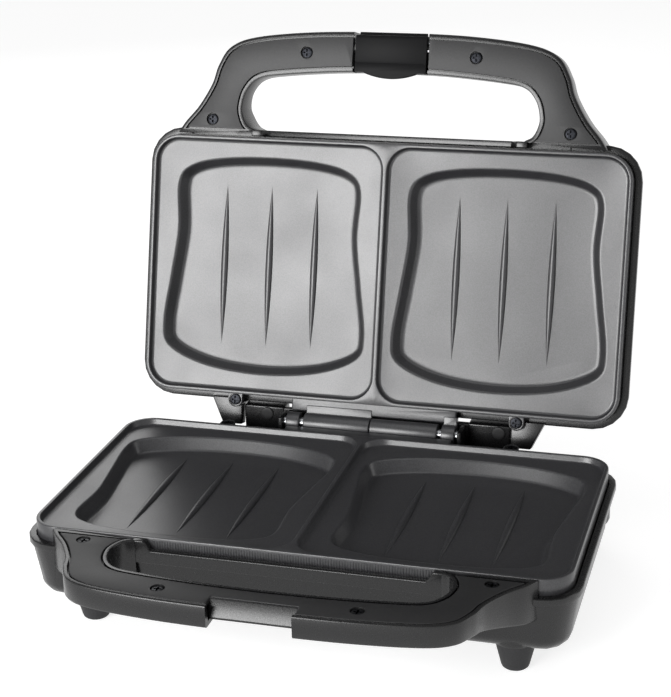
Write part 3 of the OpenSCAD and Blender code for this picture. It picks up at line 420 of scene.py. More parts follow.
def grain(material, shader, size, height, at, detail=2.0):
    """Bumps of a grain as wide as size and as high as height, in millimetres."""
    noise = add(material, "ShaderNodeTexNoise", {"Scale": 1 / size, "Detail": detail}, Vector=at)
    bump = add(
        material, "ShaderNodeBump", {"Distance": height * 0.001, "Strength": 1.0}, Height=noise.outputs["Fac"]
    )
    material.node_tree.links.new(bump.outputs["Normal"], shader.inputs["Normal"])
    return noise


def vary(material, shader, socket, factor, low, high):
    """Lets a pattern move a shader value between low and high."""
    span = add(
        material, "ShaderNodeMapRange", {"From Min": 0.3, "From Max": 0.7, "To Min": low, "To Max": high}, Value=factor
    )
    material.node_tree.links.new(span.outputs["Result"], shader.inputs[socket])


def tint(material, shader, factor, dark, light, low=0.3, high=0.7):
    """Lets a pattern move the colour between two shades."""
    ramp = add(material, "ShaderNodeValToRGB", None, Fac=factor)
    ramp.color_ramp.elements[0].position = low
    ramp.color_ramp.elements[0].color = linear(dark)
    ramp.color_ramp.elements[1].position = high
    ramp.color_ramp.elements[1].color = linear(light)
    material.node_tree.links.new(ramp.outputs["Color"], shader.inputs["Base Color"])


def nonstick_coat():
    # Sprayed non-stick coat on cast aluminium: charcoal with a semi-gloss that turns silver where it faces
    # a light, and a fine speckle of mica flakes
    material, shader = new_material("nonstick_coat", "#2c2c2e", 0.34, IOR=1.62)
    at = millimetres(material)
    # the real speckle is about 0.2 mm; it is drawn at 0.6 mm so that it shows
    speckle = grain(material, shader, 0.6, 0.022, at, 3.0)
    tint(material, shader, speckle.outputs["Fac"], "#242426", "#38383a", 0.36, 0.64)
    cloud = add(material, "ShaderNodeTexNoise", {"Scale": 1 / 40, "Detail": 2.0}, Vector=at)
    vary(material, shader, "Roughness", cloud.outputs["Fac"], 0.31, 0.37)
    return material


def moulded_housing():
    # Moulded black ABS, satin from a lightly sparked mould: soft reflections
    material, shader = new_material("moulded_housing", "#0e0e0f", 0.28)
    at = millimetres(material)
    texture = grain(material, shader, 0.9, 0.003, at)
    vary(material, shader, "Roughness", texture.outputs["Fac"], 0.26, 0.3)
    return material


def grained_cover():
    # Moulded ABS with an eroded grain: dark grey, dull, with a fine leathery speckle
    material, shader = new_material("grained_cover", "#161617", 0.5)
    at = millimetres(material)
    texture = grain(material, shader, 0.8, 0.035, at, 3.0)
    tint(material, shader, texture.outputs["Fac"], "#111112", "#1d1d1e")
    return material


def latch_nylon():
    # Moulded nylon: deep black with a soft sheen
    material, shader = new_material("latch_nylon", "#131314", 0.5, Specular_IOR_Level=0.1)
    at = millimetres(material)
    grain(material, shader, 1.1, 0.012, at)
    return material


def zinc_steel():
    # Zinc-plated steel screws: cold grey with fine wear
    material, shader = new_material("zinc_steel", "#55565a", 0.4, metallic=1.0)
    at = millimetres(material)
    wear = grain(material, shader, 0.6, 0.015, at)
    vary(material, shader, "Roughness", wear.outputs["Fac"], 0.26, 0.45)
    return material


def black_zinc():
    # Black zinc on the cover screws: nearly black, worn light on the edges of the cross
    material, shader = new_material("black_zinc", "#232427", 0.4, metallic=1.0)
    at = millimetres(material)
    wear = grain(material, shader, 0.5, 0.015, at)
    vary(material, shader, "Roughness", wear.outputs["Fac"], 0.3, 0.46)
    return material


def ground_steel():
    # Ground steel pins: bright, with a fine lengthways grain
    material, shader = new_material("ground_steel", "#a9abae", 0.22, metallic=1.0)
    at = millimetres(material)
    scratch = grain(material, shader, 0.5, 0.01, at)
    vary(material, shader, "Roughness", scratch.outputs["Fac"], 0.18, 0.3)
    return material


def brushed_steel():
    # Brushed stainless steel: lines about 0.3 mm apart along x
    material, shader = new_material("brushed_steel", "#b4b5b7", 0.3, metallic=1.0)
    at = millimetres(material)
    lines = add(material, "ShaderNodeMapping", {"Scale": (0.02, 1, 1)}, Vector=at)
    noise = grain(material, shader, 0.5, 0.012, lines.outputs["Vector"], 4.0)
    vary(material, shader, "Roughness", noise.outputs["Fac"], 0.24, 0.38)
    return material


def shield_steel():
    # Aluminised sheet steel: pale, with soft clouds
    material, shader = new_material("shield_steel", "#9c9ea1", 0.38, metallic=1.0)
    at = millimetres(material)
    cloud = grain(material, shader, 3.0, 0.02, at)
    vary(material, shader, "Roughness", cloud.outputs["Fac"], 0.3, 0.5)
    return material


def heater_sheath():
    # Heat-browned stainless tube: warm grey bands
    material, shader = new_material("heater_sheath", "#5d554c", 0.45, metallic=0.9)
    at = millimetres(material)
    stain = grain(material, shader, 5.0, 0.02, at, 4.0)
    tint(material, shader, stain.outputs["Fac"], "#4a4139", "#766d62")
    return material


def foot_rubber():
    # Moulded rubber: matte black with a dusty grain
    material, shader = new_material("foot_rubber", "#1b1b1c", 0.7)
    at = millimetres(material)
    dust = grain(material, shader, 0.7, 0.04, at, 3.0)
    tint(material, shader, dust.outputs["Fac"], "#171718", "#222224")
    return material


def steatite():
    # Unglazed ceramic: chalky off-white with fine pits
    material, shader = new_material("steatite", "#d6d0c2", 0.75)
    at = millimetres(material)
    pits = grain(material, shader, 0.8, 0.05, at, 4.0)
    tint(material, shader, pits.outputs["Fac"], "#cdc6b6", "#dfdacd")
    return material


def glass_sleeve():
    # Woven glass-fibre sleeve on the wires: braid about 0.8 mm wide
    material, shader = new_material("glass_sleeve", "#9a3b30", 0.8)
    at = millimetres(material)
    braid = add(material, "ShaderNodeTexChecker", {"Scale": 1.25}, Vector=at)
    tint(material, shader, braid.outputs["Fac"], "#8a3228", "#ad4a3c")
    return material


def clear_lens(name, color):
    # Tinted clear polycarbonate: coloured gloss with a little light through it
    material, shader = new_material(name, color, 0.12, Transmission_Weight=0.45, IOR=1.58)
    at = millimetres(material)
    grain(material, shader, 2.0, 0.01, at)
    return material


def lamp_glass():
    # Clear glass envelope of a neon lamp, with an amber tint from its electrodes
    material, shader = new_material("lamp_glass", "#d9a878", 0.05, Transmission_Weight=0.8, IOR=1.5)
    at = millimetres(material)
    grain(material, shader, 3.0, 0.01, at)
    return material


COAT, HOUSING, COVER, LATCH = nonstick_coat(), moulded_housing(), grained_cover(), latch_nylon()
ZINC, BLACK_ZINC, PIN, BRUSHED = zinc_steel(), black_zinc(), ground_steel(), brushed_steel()
SHIELD, HEATER, RUBBER, CERAMIC = shield_steel(), heater_sheath(), foot_rubber(), steatite()
SLEEVE, GLASS = glass_sleeve(), lamp_glass()
RED, GREEN = clear_lens("red_lens", "#c8281c"), clear_lens("green_lens", "#27963f")
NODE_MATERIALS = {
    "base_housing": HOUSING, "lid_housing": HOUSING, "base_handle_cover": COVER,
    "lid_handle_cover_left": COVER, "lid_handle_cover_right": COVER, "base_tower_plugs": COVER,
    "latch": LATCH, "base_plate": COAT, "lid_plate": COAT, "base_heater": HEATER, "lid_heater": HEATER,
    "base_heat_shield": SHIELD, "lid_heat_shield": SHIELD, "lid_panel": BRUSHED, "hinge_pin": PIN,
    "latch_pin": PIN, "base_handle_screws": BLACK_ZINC, "lid_handle_screws": BLACK_ZINC,
    "base_plate_screws": BLACK_ZINC, "lid_plate_screws": BLACK_ZINC, "base_shield_screws": ZINC,
    "lid_shield_screws": ZINC, "foot_screws": ZINC, "foot_front_left": RUBBER, "foot_front_right": RUBBER,
    "foot_rear_left": RUBBER, "foot_rear_right": RUBBER, "cord_bush": RUBBER,
    "base_terminal_block": CERAMIC, "base_thermal_fuse": CERAMIC, "lid_thermostat": CERAMIC,
    "base_wiring": SLEEVE, "lid_wiring": SLEEVE, "lid_power_lens": RED, "lid_ready_lens": GREEN,
    "lid_lamps": GLASS,
}
for node_name, node_material in NODE_MATERIALS.items():
    node_mesh = frame["nodes"][node_name].data
    node_mesh.materials.clear()
    node_mesh.materials.append(node_material)


# Plates


def pocket_outline(n):
    """The pocket's outline about its middle: a square with bowed ends and waisted sides."""
    side = [
        (28.1, -59.5), (46.1, -54.8), (53, -45), (52.2, -19), (55.6, 8), (59, 35), (54.9, 48.1), (32.5, 57.3)
    ]
    return resample(loop_curve([(0, -61)] + side + [(0, 60.5)] + flip(side), 12), n)


def half_edge(inset, n):
    """Edge of the right half of a plate about the pocket's middle, with square corners at the divider."""
    w, d = PLATE_W / 2 - inset, PLATE_D - 2 * inset
    r = PLATE_R - inset
    out = []
    for x, y in rounded_rect(w, d, r, n):
        dx, dy = -x - (w / 2 - r), abs(y) - (d / 2 - r)
        if dx > 0 and dy > 0:
            reach = r / max(dx, dy)
            x, y = -(w / 2 - r + dx * reach), math.copysign(d / 2 - r + dy * reach, y)
        out.append((x + w / 2 - POCKET_X, y))
    for y in (-d / 2, d / 2):
        corner = (-POCKET_X, y)
        out[min(range(n), key=lambda k: math.dist(out[k], corner))] = corner
    return out


def half_skin(name, pocket_steps, field_steps, edge, n=208):
    """One half of a plate's upper or lower skin, from the middle of its pocket out to its edge."""
    loops = rings(pocket_outline(n), pocket_steps)
    field = rounded_rect(PLATE_W / 2 - RIM_W - DIVIDER / 2, PLATE_D - 2 * RIM_W, PLATE_R - RIM_W, n)
    loops += rings(field, field_steps)
    inset, z = edge
    loops.append([(x, y, z) for x, y in half_edge(inset, n)])
    return sheet_of(name, [[(x + POCKET_X, y, z) for x, y, z in loop] for loop in loops])


def sheet_of(name, loops):
    """An open sheet that starts with a filled loop and grows outward from it."""
    deselect()
    bpy.ops.mesh.primitive_circle_add(vertices=len(loops[0]), fill_type="NGON")
    piece = bpy.context.object
    piece.name = name
    bpy.ops.object.mode_set(mode="EDIT")
    place_selected(piece, loops[0])
    for points in loops[1:]:
        select_boundary(piece)
        bpy.ops.mesh.extrude_edges_move()
        place_selected(piece, points)
    bpy.ops.object.mode_set(mode="OBJECT")
    return piece


def select_boundary(piece):
    """Selects the open edges of the mesh in edit mode."""
    bpy.ops.mesh.select_all(action="DESELECT")
    mesh = bmesh.from_edit_mesh(piece.data)
    for edge in [e for e in mesh.edges if e.is_boundary]:
        edge.select = True
    bmesh.update_edit_mesh(piece.data)


def mirrored(piece):
    """Joins a piece to its mirror image about x = 0 and merges the points they share."""
    twin = piece.copy()
    twin.data = piece.data.copy()
    bpy.context.scene.collection.objects.link(twin)
    twin.data.transform(Matrix.Scale(-1, 4, (1, 0, 0)))
    join(piece, twin)
    bpy.ops.object.mode_set(mode="EDIT")
    bpy.ops.mesh.select_all(action="SELECT")
    bpy.ops.mesh.remove_doubles(threshold=0.02)
    bpy.ops.mesh.normals_make_consistent(inside=False)
    bpy.ops.object.mode_set(mode="OBJECT")
    return piece


def plate_outward(x, y):
    """Outward direction of the plate's outer edge near a point."""
    dx, dy = abs(x) - (PLATE_W / 2 - PLATE_R), abs(y) - (PLATE_D / 2 - PLATE_R)
    if dx > 0 and dy > 0:
        length = math.hypot(dx, dy)
        return math.copysign(dx / length, x), math.copysign(dy / length, y)
    return (math.copysign(1, x), 0) if dx > dy else (0, math.copysign(1, y))


def plate_body():
    """The casting's skin: fields, pockets, rim and skirt above, and the hollow underside."""
    top = half_skin(
        "plate",
        [
            (-6, POCKET_Z), (-4.6, POCKET_Z + 0.08), (-3.6, POCKET_Z + 0.42), (-3.0, POCKET_Z + 1.1),
            (-0.75, FIELD_Z - 0.9), (-0.3, FIELD_Z - 0.36), (0.35, FIELD_Z - 0.07), (1.1, FIELD_Z),
        ],
        [
            (-2.2, FIELD_Z), (-1.4, FIELD_Z + 0.1), (-0.85, FIELD_Z + 0.45), (-0.6, FIELD_Z + 1.0),
            (-0.25, RIM_Z - 0.55), (-0.1, RIM_Z - 0.2), (0.12, RIM_Z - 0.04), (0.3, RIM_Z),
        ],
        (0.45, RIM_Z),
    )
    mirrored(top)
    bpy.ops.object.mode_set(mode="EDIT")
    steps = [(0.3, -0.12), (0.15, -0.35), (0, 0.85 - SKIRT), (-0.15, -0.38), (-CAST + 0.15, 0)]
    for out, rise in steps:
        select_boundary(top)
        bpy.ops.mesh.extrude_edges_move()
        mesh = bmesh.from_edit_mesh(top.data)
        for vertex in [v for v in mesh.verts if v.select]:
            u, v = plate_outward(vertex.co.x, vertex.co.y)
            vertex.co.x += out * u
            vertex.co.y += out * v
            vertex.co.z += rise
        bmesh.update_edit_mesh(top.data)
    bpy.ops.object.mode_set(mode="OBJECT")
    low = FIELD_Z - CAST
    under = half_skin(
        "plate_underside",
        [
            (-4, POCKET_Z - CAST), (-2.6, POCKET_Z - CAST), (-1.7, POCKET_Z - CAST + 0.6),
            (-1.1, POCKET_Z - CAST + 1.4), (1.1, low - 1), (1.8, low),
        ],
        [(-1.2, low)],
        (CAST, low),
    )
    mirrored(under)
    join(top, under)
    bpy.ops.object.mode_set(mode="EDIT")
    select_boundary(top)
    bpy.ops.mesh.bridge_edge_loops()
    bpy.ops.mesh.select_all(action="SELECT")
    bpy.ops.mesh.normals_make_consistent(inside=False)
    bpy.ops.object.mode_set(mode="OBJECT")
    return top


def ridge():
    """A slender ridge on a pocket's floor, widest in its middle and pointed at both ends."""
    stations, sides = 28, 20
    loops = []
    for i in range(stations + 1):
        y = RIDGE_L / 2 * math.sin(math.pi * (i / stations - 0.5))
        share = max(1 - (2 * y / RIDGE_L) ** 2, 0.004)
        w, h = RIDGE_W / 2 * share, RIDGE_H * share
        angles = [2 * math.pi * k / sides for k in range(sides)]
        loops.append([(w * math.cos(a), y, POCKET_Z + h * math.sin(a)) for a in angles])
    return loft("ridge", loops)


def plate(axis_z):
    """The casting with its ridges, knuckles, ears and ribbed front."""
    body = plate_body()
    ridges = copy_at(
        ridge(), [(s * POCKET_X + k * RIDGE_PITCH, 0, 0) for s in (-1, 1) for k in (-1, 0, 1)]
    )
    back = PLATE_D / 2 - CAST + 0.4
    shelf = block("shelf", (-47, back, RIM_Z - 5), (47, PLATE_D / 2 + 6.6, RIM_Z - 0.6), 0.8)
    long_knuckle = rod("knuckle", (0.25, HINGE_Y, axis_z), (38, HINGE_Y, axis_z), KNUCKLE_R, 56, 0.5)
    short_knuckle = rod("knuckle", (-47.9, HINGE_Y, axis_z), (-40.5, HINGE_Y, axis_z), KNUCKLE_R, 56, 0.5)
    low = axis_z - KNUCKLE_R
    long_web = block("web", (0.25, PLATE_D / 2 + 3, low), (38, HINGE_Y, low + 4.2), 0.4)
    short_web = block("web", (-47.9, PLATE_D / 2 + 3, low), (-40.5, HINGE_Y, low + 4.2), 0.4)
    ears = []
    for side in (-1, 1):
        x, ear_z = side * EAR_X, RIM_Z - 0.6
        ear = rod("ear", (x, EAR_Y, ear_z - 3.4), (x, EAR_Y, ear_z), 4.2, 56, 0.4)
        neck = block("neck", (x - 4.2, back, ear_z - 3.4), (x + 4.2, EAR_Y, ear_z), 0.3)
        ears.append(cut(weld(ear, neck), screw_seat((x, EAR_Y, ear_z), 3.1, 1.7)))
    weld(body, ridges, shelf, long_knuckle, short_knuckle, long_web, short_web, *ears)
    bore = rod("bore", (-60, HINGE_Y, axis_z), (60, HINGE_Y, axis_z), 3.05, 48)
    cut(body, bore)
    rib = rod("rib", (0, -PLATE_D / 2, RIM_Z - SKIRT + 0.9), (0, -PLATE_D / 2, RIM_Z - 1.2), 0.42, 10)
    pitch = 1.35
    count = int(LOOP_ROOT / pitch)
    ribs = copy_at(rib, [(k * pitch, 0.17, 0) for k in range(-count, count + 1)])
    return join(body, ribs)


def screw_seat(at, head, shank):
    """Cutter for a countersunk screw whose head's face is at a point."""
    x, y, z = at
    profile = [
        (shank + 0.05, -14), (shank + 0.05, -0.6 - head + shank), (head - 0.5, -1.15), (head + 0.5, -1.1),
        (head + 0.55, 1),
    ]
    cutter = turned_piece("seat", profile)
    cutter.data.transform(Matrix.Translation((x, y, z)))
    return cutter


# Screws


def cross_screw(head, shank, length):
    """Countersunk screw with a cross recess, its head's face at the origin and its point along -z."""
    screw = turned_piece(
        "screw",
        [
            (0.3, -length), (shank - 0.3, -length + 0.4), (shank, -length + 1), (shank, -0.6 - head + shank),
            (head - 0.12, -0.72), (head, -0.5), (head - 0.05, -0.16), (head - 0.3, -0.03), (head * 0.6, 0),
        ],
    )
    slots = []
    for turn in (0, 90):
        slot = block("slot", (-head * 0.66, -head * 0.17, -1.5), (head * 0.66, head * 0.17, 0.5))
        slot.data.transform(Matrix.Rotation(math.radians(turn), 4, "Z"))
        slots.append(slot)
    return cut(screw, *slots)


# Handles


def band_curves():
    """Outer and inner edge of the right half of a handle, front middle first, with matching points."""
    h, r, reach = GRIP_HALF, ROOT_HALF, 55.8
    outer = [
        (0, GRIP_Y), (0.43 * h, GRIP_Y + 1), (0.775 * h, GRIP_Y + 4.6), (0.93 * h, GRIP_Y + 10.4),
        (h, GRIP_Y + 20.6), (h + 0.16 * (r - h), GRIP_Y + 0.56 * reach), (h + 0.48 * (r - h), GRIP_Y + 0.78 * reach),
        (r - 4, GRIP_Y + 0.94 * reach), (r, HANDLE_BACK),
    ]
    low = GRIP_Y + GRIP_D
    g = LOOP_HALF
    inner = [
        (0, low), (0.36 * g, low + 0.8), (0.72 * g, low + 3.2), (0.89 * g, low + 5.8), (0.97 * g, low + 12.4),
        (g, low + 0.62 * (FRONT - low)), (g - 0.8, FRONT - 7.2), (g - 3.3, FRONT - 2.5), (g - 7.4, FRONT - 0.2),
        (LIP_END, HANDLE_BACK),
    ]
    return open_curve(outer, 8), open_curve(inner, 8)


def cut_back(points, back):
    """The part of an open curve in front of a line y = back, ending on it."""
    kept = [p for p in points if p[1] < back - 0.01]
    a, b = points[len(kept) - 1], points[min(len(kept), len(points) - 1)]
    share = (back - a[1]) / max(b[1] - a[1], 1e-6)
    return kept + [(a[0] + (b[0] - a[0]) * share, back)]


def band(d, low, high):
    """A flat solid that follows the handle, its edge drawn in by d on every side."""
    outer, inner = band_curves()
    back = HANDLE_BACK - d
    o = spread(cut_back(offset(outer, -d, closed=False), back), 90)
    i = spread(cut_back(offset(inner, d, closed=False), back), 90)
    half = [[(*a, low), (*a, high), (*b, high), (*b, low)] for a, b in zip(o, i)]
    left = [[(-x, y, z) for x, y, z in loop] for loop in half[:0:-1]]
    return loft("band", left + half)


def handle_body(thickness, root_depth):
    """The handle's outer form: a bar with rounded edges, swept round the band and deeper at the shell."""
    outer, inner = band_curves()
    o = [offset(outer, -d, closed=False) for d in (0, 0.25, 0.9)]
    i = [offset(inner, d, closed=False) for d in (0, 0.2, 0.7)]
    top = RIM_Z
    half = []
    for k, (x, y) in enumerate(outer):
        share = min(max((y - (GRIP_Y + 18)) / (FRONT + 3 - GRIP_Y - 18), 0), 1)
        drop = (root_depth - thickness) * share * share * (3 - 2 * share)
        low = top - thickness - drop
        edge = 1.6
        half.append(
            [
                (*o[0][k], top - 0.9), (*o[1][k], top - 0.25), (*o[2][k], top),
                (*i[2][k], top), (*i[1][k], top - 0.2), (*i[0][k], top - 0.7),
                (*i[0][k], low + edge - 0.2), (*i[1][k], low + 0.5), (*i[2][k], low),
                (*mix(i[2][k], o[2][k], 0.3), low), (*mix(i[2][k], o[2][k], 0.7), low),
                (*offset_at(outer, k, -1.8), low), (*offset_at(outer, k, -0.6), low + 0.5),
                (*o[0][k], low + edge),
            ]
        )
    left = [[(-x, y, z) for x, y, z in loop] for loop in half[:0:-1]]
    return loft("handle", left + half)


def mix(a, b, t):
    return a[0] + (b[0] - a[0]) * t, a[1] + (b[1] - a[1]) * t


def offset_at(points, k, d):
    u, v = normals(points, closed=False)[k]
    return points[k][0] + d * u, points[k][1] + d * v


def channel(thickness):
    """Cutter for a handle's channel: the groove that the cover lies in and the hollow below its ledge."""
    groove = band(FRAME_W, RIM_Z - COVER_T - 0.2, RIM_Z + 1)
    hollow = band(FRAME_W + LEDGE_W, RIM_Z - thickness + WALL, RIM_Z - COVER_T)
    return groove, hollow


SCREW_PLACES = [
    (-100.6, FRONT - 5), (100.6, FRONT - 5), (-47.4, GRIP_Y + 0.57 * GRIP_D), (47.4, GRIP_Y + 0.57 * GRIP_D)
]


def posts(thickness):
    """Posts in a handle's channel that take the cover screws."""
    low, high = RIM_Z - thickness + 1, RIM_Z - COVER_T - 0.2
    return [rod("post", (x, y, low), (x, y, high), 3.6, 32) for x, y in SCREW_PLACES]


def cover(notch_half, through):
    """Handle cover with soft edges and countersinks. through cuts it in two across the whole grip."""
    piece = band(FRAME_W + COVER_GAP, RIM_Z - COVER_T, RIM_Z)
    depth = GRIP_D + 3 if through else NOTCH_Y - GRIP_Y + 0.6
    gap = block("gap", (-notch_half, GRIP_Y - 3, RIM_Z - 9), (notch_half, GRIP_Y + depth, RIM_Z + 9))
    cut(piece, gap)
    round_edges(piece, 0.45, 3, 40)
    for x, y in SCREW_PLACES:
        cut(piece, screw_seat((x, y, RIM_Z - 0.5), 3, 1.4))
    return piece


# Housings


def rect_loops(w, d, r, middle, steps, n=144):
    """Loops of a rounded rectangle drawn in by each step's inset, at each step's height."""
    return [
        [(x, y + middle, z) for x, y in rounded_rect(w - 2 * inset, d - 2 * inset, max(r - inset, 1.2), n)]
        for inset, z in steps
    ]


def bottom_steps(top, bottom, draft, edge, first=0.0):
    """Insets and heights down a drafted wall and round its bottom edge."""
    steps = [(first, top)]
    for k in range(9):
        a = math.pi / 2 * k / 8
        steps.append((first + draft + edge * (1 - math.cos(a)), bottom + edge * (1 - math.sin(a))))
    return steps


def tub(height, draft, edge):
    """A half's outer form: lip, bead, drafted wall and rounded bottom, still solid."""
    steps = [
        (12, LIP_Z), (0.9, LIP_Z), (0.35, LIP_Z - 0.15), (0.05, LIP_Z - 0.5), (0, LIP_Z - 0.9),
        (0, BEAD_Z + 0.9), (0.15, BEAD_Z + 0.35), (0.6, BEAD_Z + 0.05), (1.15, BEAD_Z), (BEAD_STEP, BEAD_Z - 0.45),
    ] + bottom_steps(BEAD_Z - 1.2, -height, draft, edge, BEAD_STEP)
    return loft("shell", rect_loops(SHELL_W, SHELL_D, SHELL_R, 0, steps))


def hollow(height, draft, edge):
    """Cutter for the room inside a half's walls."""
    steps = bottom_steps(BEAD_Z + 1, WALL - height, draft, edge - WALL, BEAD_STEP + WALL)
    return loft("room", rect_loops(SHELL_W, SHELL_D, SHELL_R, 0, steps))


def plate_well():
    """Cutter for the well that a plate's skirt sits in."""
    outline = rounded_rect(PLATE_W + 1.6, PLATE_D + 1.6, PLATE_R + 0.8, 144)
    return prism("well", outline, BEAD_Z - 0.5, 1)


def deck():
    """The base's rear deck: a lower box behind the shell that carries the hinge towers."""
    depth = DECK_Y - (SHELL_D / 2 - 46)
    middle = DECK_Y - depth / 2
    steps = [(1.4, DECK_Z), (0.5, DECK_Z - 0.3), (0.05, DECK_Z - 1.1)] + bottom_steps(
        DECK_Z - 1.6, -BASE_H, BASE_DRAFT, BASE_EDGE
    )
    return loft("deck", rect_loops(2 * DECK_HALF, depth, 20, middle, [(20, DECK_Z)] + steps))


def front_lip():
    """The front wall inside the finger opening: low along the grip, and up to the rim at both ends."""
    high, low = RIM_Z - 0.3, RIM_Z - 5.35
    side = [(LOOP_ROOT + 1.5, BEAD_Z), (LOOP_ROOT + 1.5, high)]
    for k in range(9):
        t = k / 8
        side.append((LIP_END - 0.4 - 4.4 * t, high + (low - high) * t * t * (3 - 2 * t)))
    outline = side + flip(side)
    piece = loft("front_lip", [[(x, y, z) for x, z in outline] for y in (FRONT, FRONT + 3.4)])
    round_edges(piece, 0.5, 3, 40)
    return piece


def column(x, y, radius, height):
    """A foot's column, rising from the bottom with a soft shoulder where it leaves the wall."""
    piece = turned_piece(
        "column",
        [
            (radius * 0.6, 0.6), (radius - 2.4, 0.6), (radius - 0.7, 1.1), (radius, 2.8), (radius, height - 3),
            (radius - 0.7, height - 1), (radius - 2.6, height), (radius * 0.5, height + 0.2),
        ],
    )
    piece.data.transform(Matrix.Translation((x, y, -BASE_H)))
    return piece


def hook_slots():
    """Cutters for the slots that take the hooks on a plate's front."""
    return [
        block("slot", (s * 107.6 - 7.8, -PLATE_D / 2 - 2.2, RIM_Z - SKIRT - 0.4),
              (s * 107.6 + 7.8, -PLATE_D / 2 + 0.8, RIM_Z - SKIRT + 2.2))
        for s in (-1, 1)
    ]


def ear_post(side, low):
    """A post under a plate's ear, tied to the wall in front of it."""
    x, high = side * EAR_X, RIM_Z - 4.2
    post = rod("post", (x, EAR_Y, low), (x, EAR_Y, high), 4.2, 40)
    web = block("web", (x - 4.2, PLATE_D / 2 + 0.8, low), (x + 4.2, EAR_Y, high))
    return weld(post, web)


def base_housing():
    body = weld(tub(BASE_H, BASE_DRAFT, BASE_EDGE), deck())
    parts = [front_lip(), handle_body(BASE_HANDLE_T, 21)]
    parts.append(block("hinge_wall", (-54, HINGE_Y + 9.4, DECK_Z - 1.5), (54, HINGE_Y + 12.6, 2.7), 0.8))
    parts.append(block("hinge_step", (-54, HINGE_Y + 11, DECK_Z - 1.5), (54, HINGE_Y + 20, -0.4), 0.8))
    for side in (-1, 1):
        parts.append(column(side * 107.6, -59, 12, 14))
        parts.append(column(side * 121.4, 76, 12.8, 14))
        x0, x1 = sorted((side * 53, side * 76.5))
        parts.append(block("tower", (x0, HINGE_Y + 9, DECK_Z - 1.5), (x1, HINGE_Y + 20, 3.05), 0.9))
        x = side * 50.8
        parts.append(block("pin_rib", (x - 1, HINGE_Y - 6, DECK_Z - 1), (x + 1, HINGE_Y + 6, HINGE_Z + 4), 0.3))
        parts.append(ear_post(side, DECK_Z - 1))
    weld(body, join(*parts))
    groove, deep = channel(BASE_HANDLE_T)
    lead = rod("lead", (34, DECK_Y - 12, -26.5), (34, DECK_Y + 4, -26.5), 5.95, 48)
    notch = block(
        "notch", (-BASE_NOTCH, GRIP_Y - 1, RIM_Z - BASE_HANDLE_T - 1), (BASE_NOTCH, NOTCH_Y + 2.2, RIM_Z + 1)
    )
    cut(body, join(hollow(BASE_H, BASE_DRAFT, BASE_EDGE), groove, lead))
    cut(body, join(plate_well(), deep))
    cut(body, join(notch, *hook_slots()))
    return weld(body, join(*posts(BASE_HANDLE_T), catch()))


def catch():
    """The sloping catch in the base's notch, with its undercut and a thin wall behind it."""
    z = RIM_Z
    profile = [
        (NOTCH_Y + 2.4, z - COVER_T - 0.4), (NOTCH_Y + 0.2, z - COVER_T - 0.4), (NOTCH_Y + 0.2, z - 0.3),
        (NOTCH_Y - 0.3, z - 0.3), (NOTCH_Y - 0.75, z - 0.75), (NOTCH_Y - CATCH_RUN, z - CATCH_H + 0.4),
        (NOTCH_Y - CATCH_RUN + 0.1, z - CATCH_H), (NOTCH_Y - CATCH_RUN + 1.6, z - CATCH_H),
        (NOTCH_Y + 0.4, z - CATCH_H + 1.6), (NOTCH_Y + 0.4, z - BASE_HANDLE_T), (NOTCH_Y + 2.4, z - BASE_HANDLE_T),
    ]
    half = BASE_NOTCH + 0.8
    return loft("catch", [[(x, y, z) for y, z in profile] for x in (-half, half)])


def arm(side):
    """One of the lid's hinge arms, tapering towards its tip."""
    rear, tip = SHELL_D / 2 - 1.6, HINGE_Y + 4.9
    outline = [(77.2, rear), (95.5, rear), (88.4, tip), (77.2, tip)]
    piece = prism("arm", outline if side > 0 else flip(outline), -12, -4.6)
    round_edges(piece, 0.7, 3)
    return piece


def lid_housing():
    body = tub(LID_H, LID_DRAFT, LID_EDGE)
    parts = [front_lip(), handle_body(LID_HANDLE_T, 26)]
    for side in (-1, 1):
        parts += [arm(side), ear_post(side, LIP_Z - 6)]
    weld(body, join(*parts))
    groove, deep = channel(LID_HANDLE_T)
    cut(body, join(hollow(LID_H, LID_DRAFT, LID_EDGE), groove))
    cut(body, join(plate_well(), deep))
    wall = LID_NOTCH + WALL
    cheeks = block(
        "cheeks", (-wall, GRIP_Y + 0.6, RIM_Z - LID_HANDLE_T + 0.4), (wall, GRIP_Y + GRIP_D - 0.6, RIM_Z - COVER_T - 0.2)
    )
    weld(body, join(cheeks, *posts(LID_HANDLE_T)))
    notch = block("notch", (-LID_NOTCH, GRIP_Y - 2, RIM_Z - LID_HANDLE_T - 2), (LID_NOTCH, NOTCH_Y, RIM_Z + 2))
    recess = block("recess", (-LID_NOTCH, GRIP_Y - 3, -LATCH_Z - 2.8), (LID_NOTCH, GRIP_Y + GRIP_D + 4, RIM_Z + 3))
    pin = rod("pin_bore", (0.6 - wall, LATCH_Y, -LATCH_Z), (wall - 0.6, LATCH_Y, -LATCH_Z), 1.55, 24)
    seat = prism("panel_seat", [(x, y + 6) for x, y in rounded_rect(206.4, 80.4, 12.2, 96)], -LID_H - 1, -LID_H + 1)
    lenses = [rod("lens_bore", (s * 13, -42, -LID_H - 1), (s * 13, -42, -LID_H + 4), 3.05, 32) for s in (-1, 1)]
    cut(body, join(notch, seat, *lenses, *hook_slots()))
    return cut(body, recess, pin)


# Latch


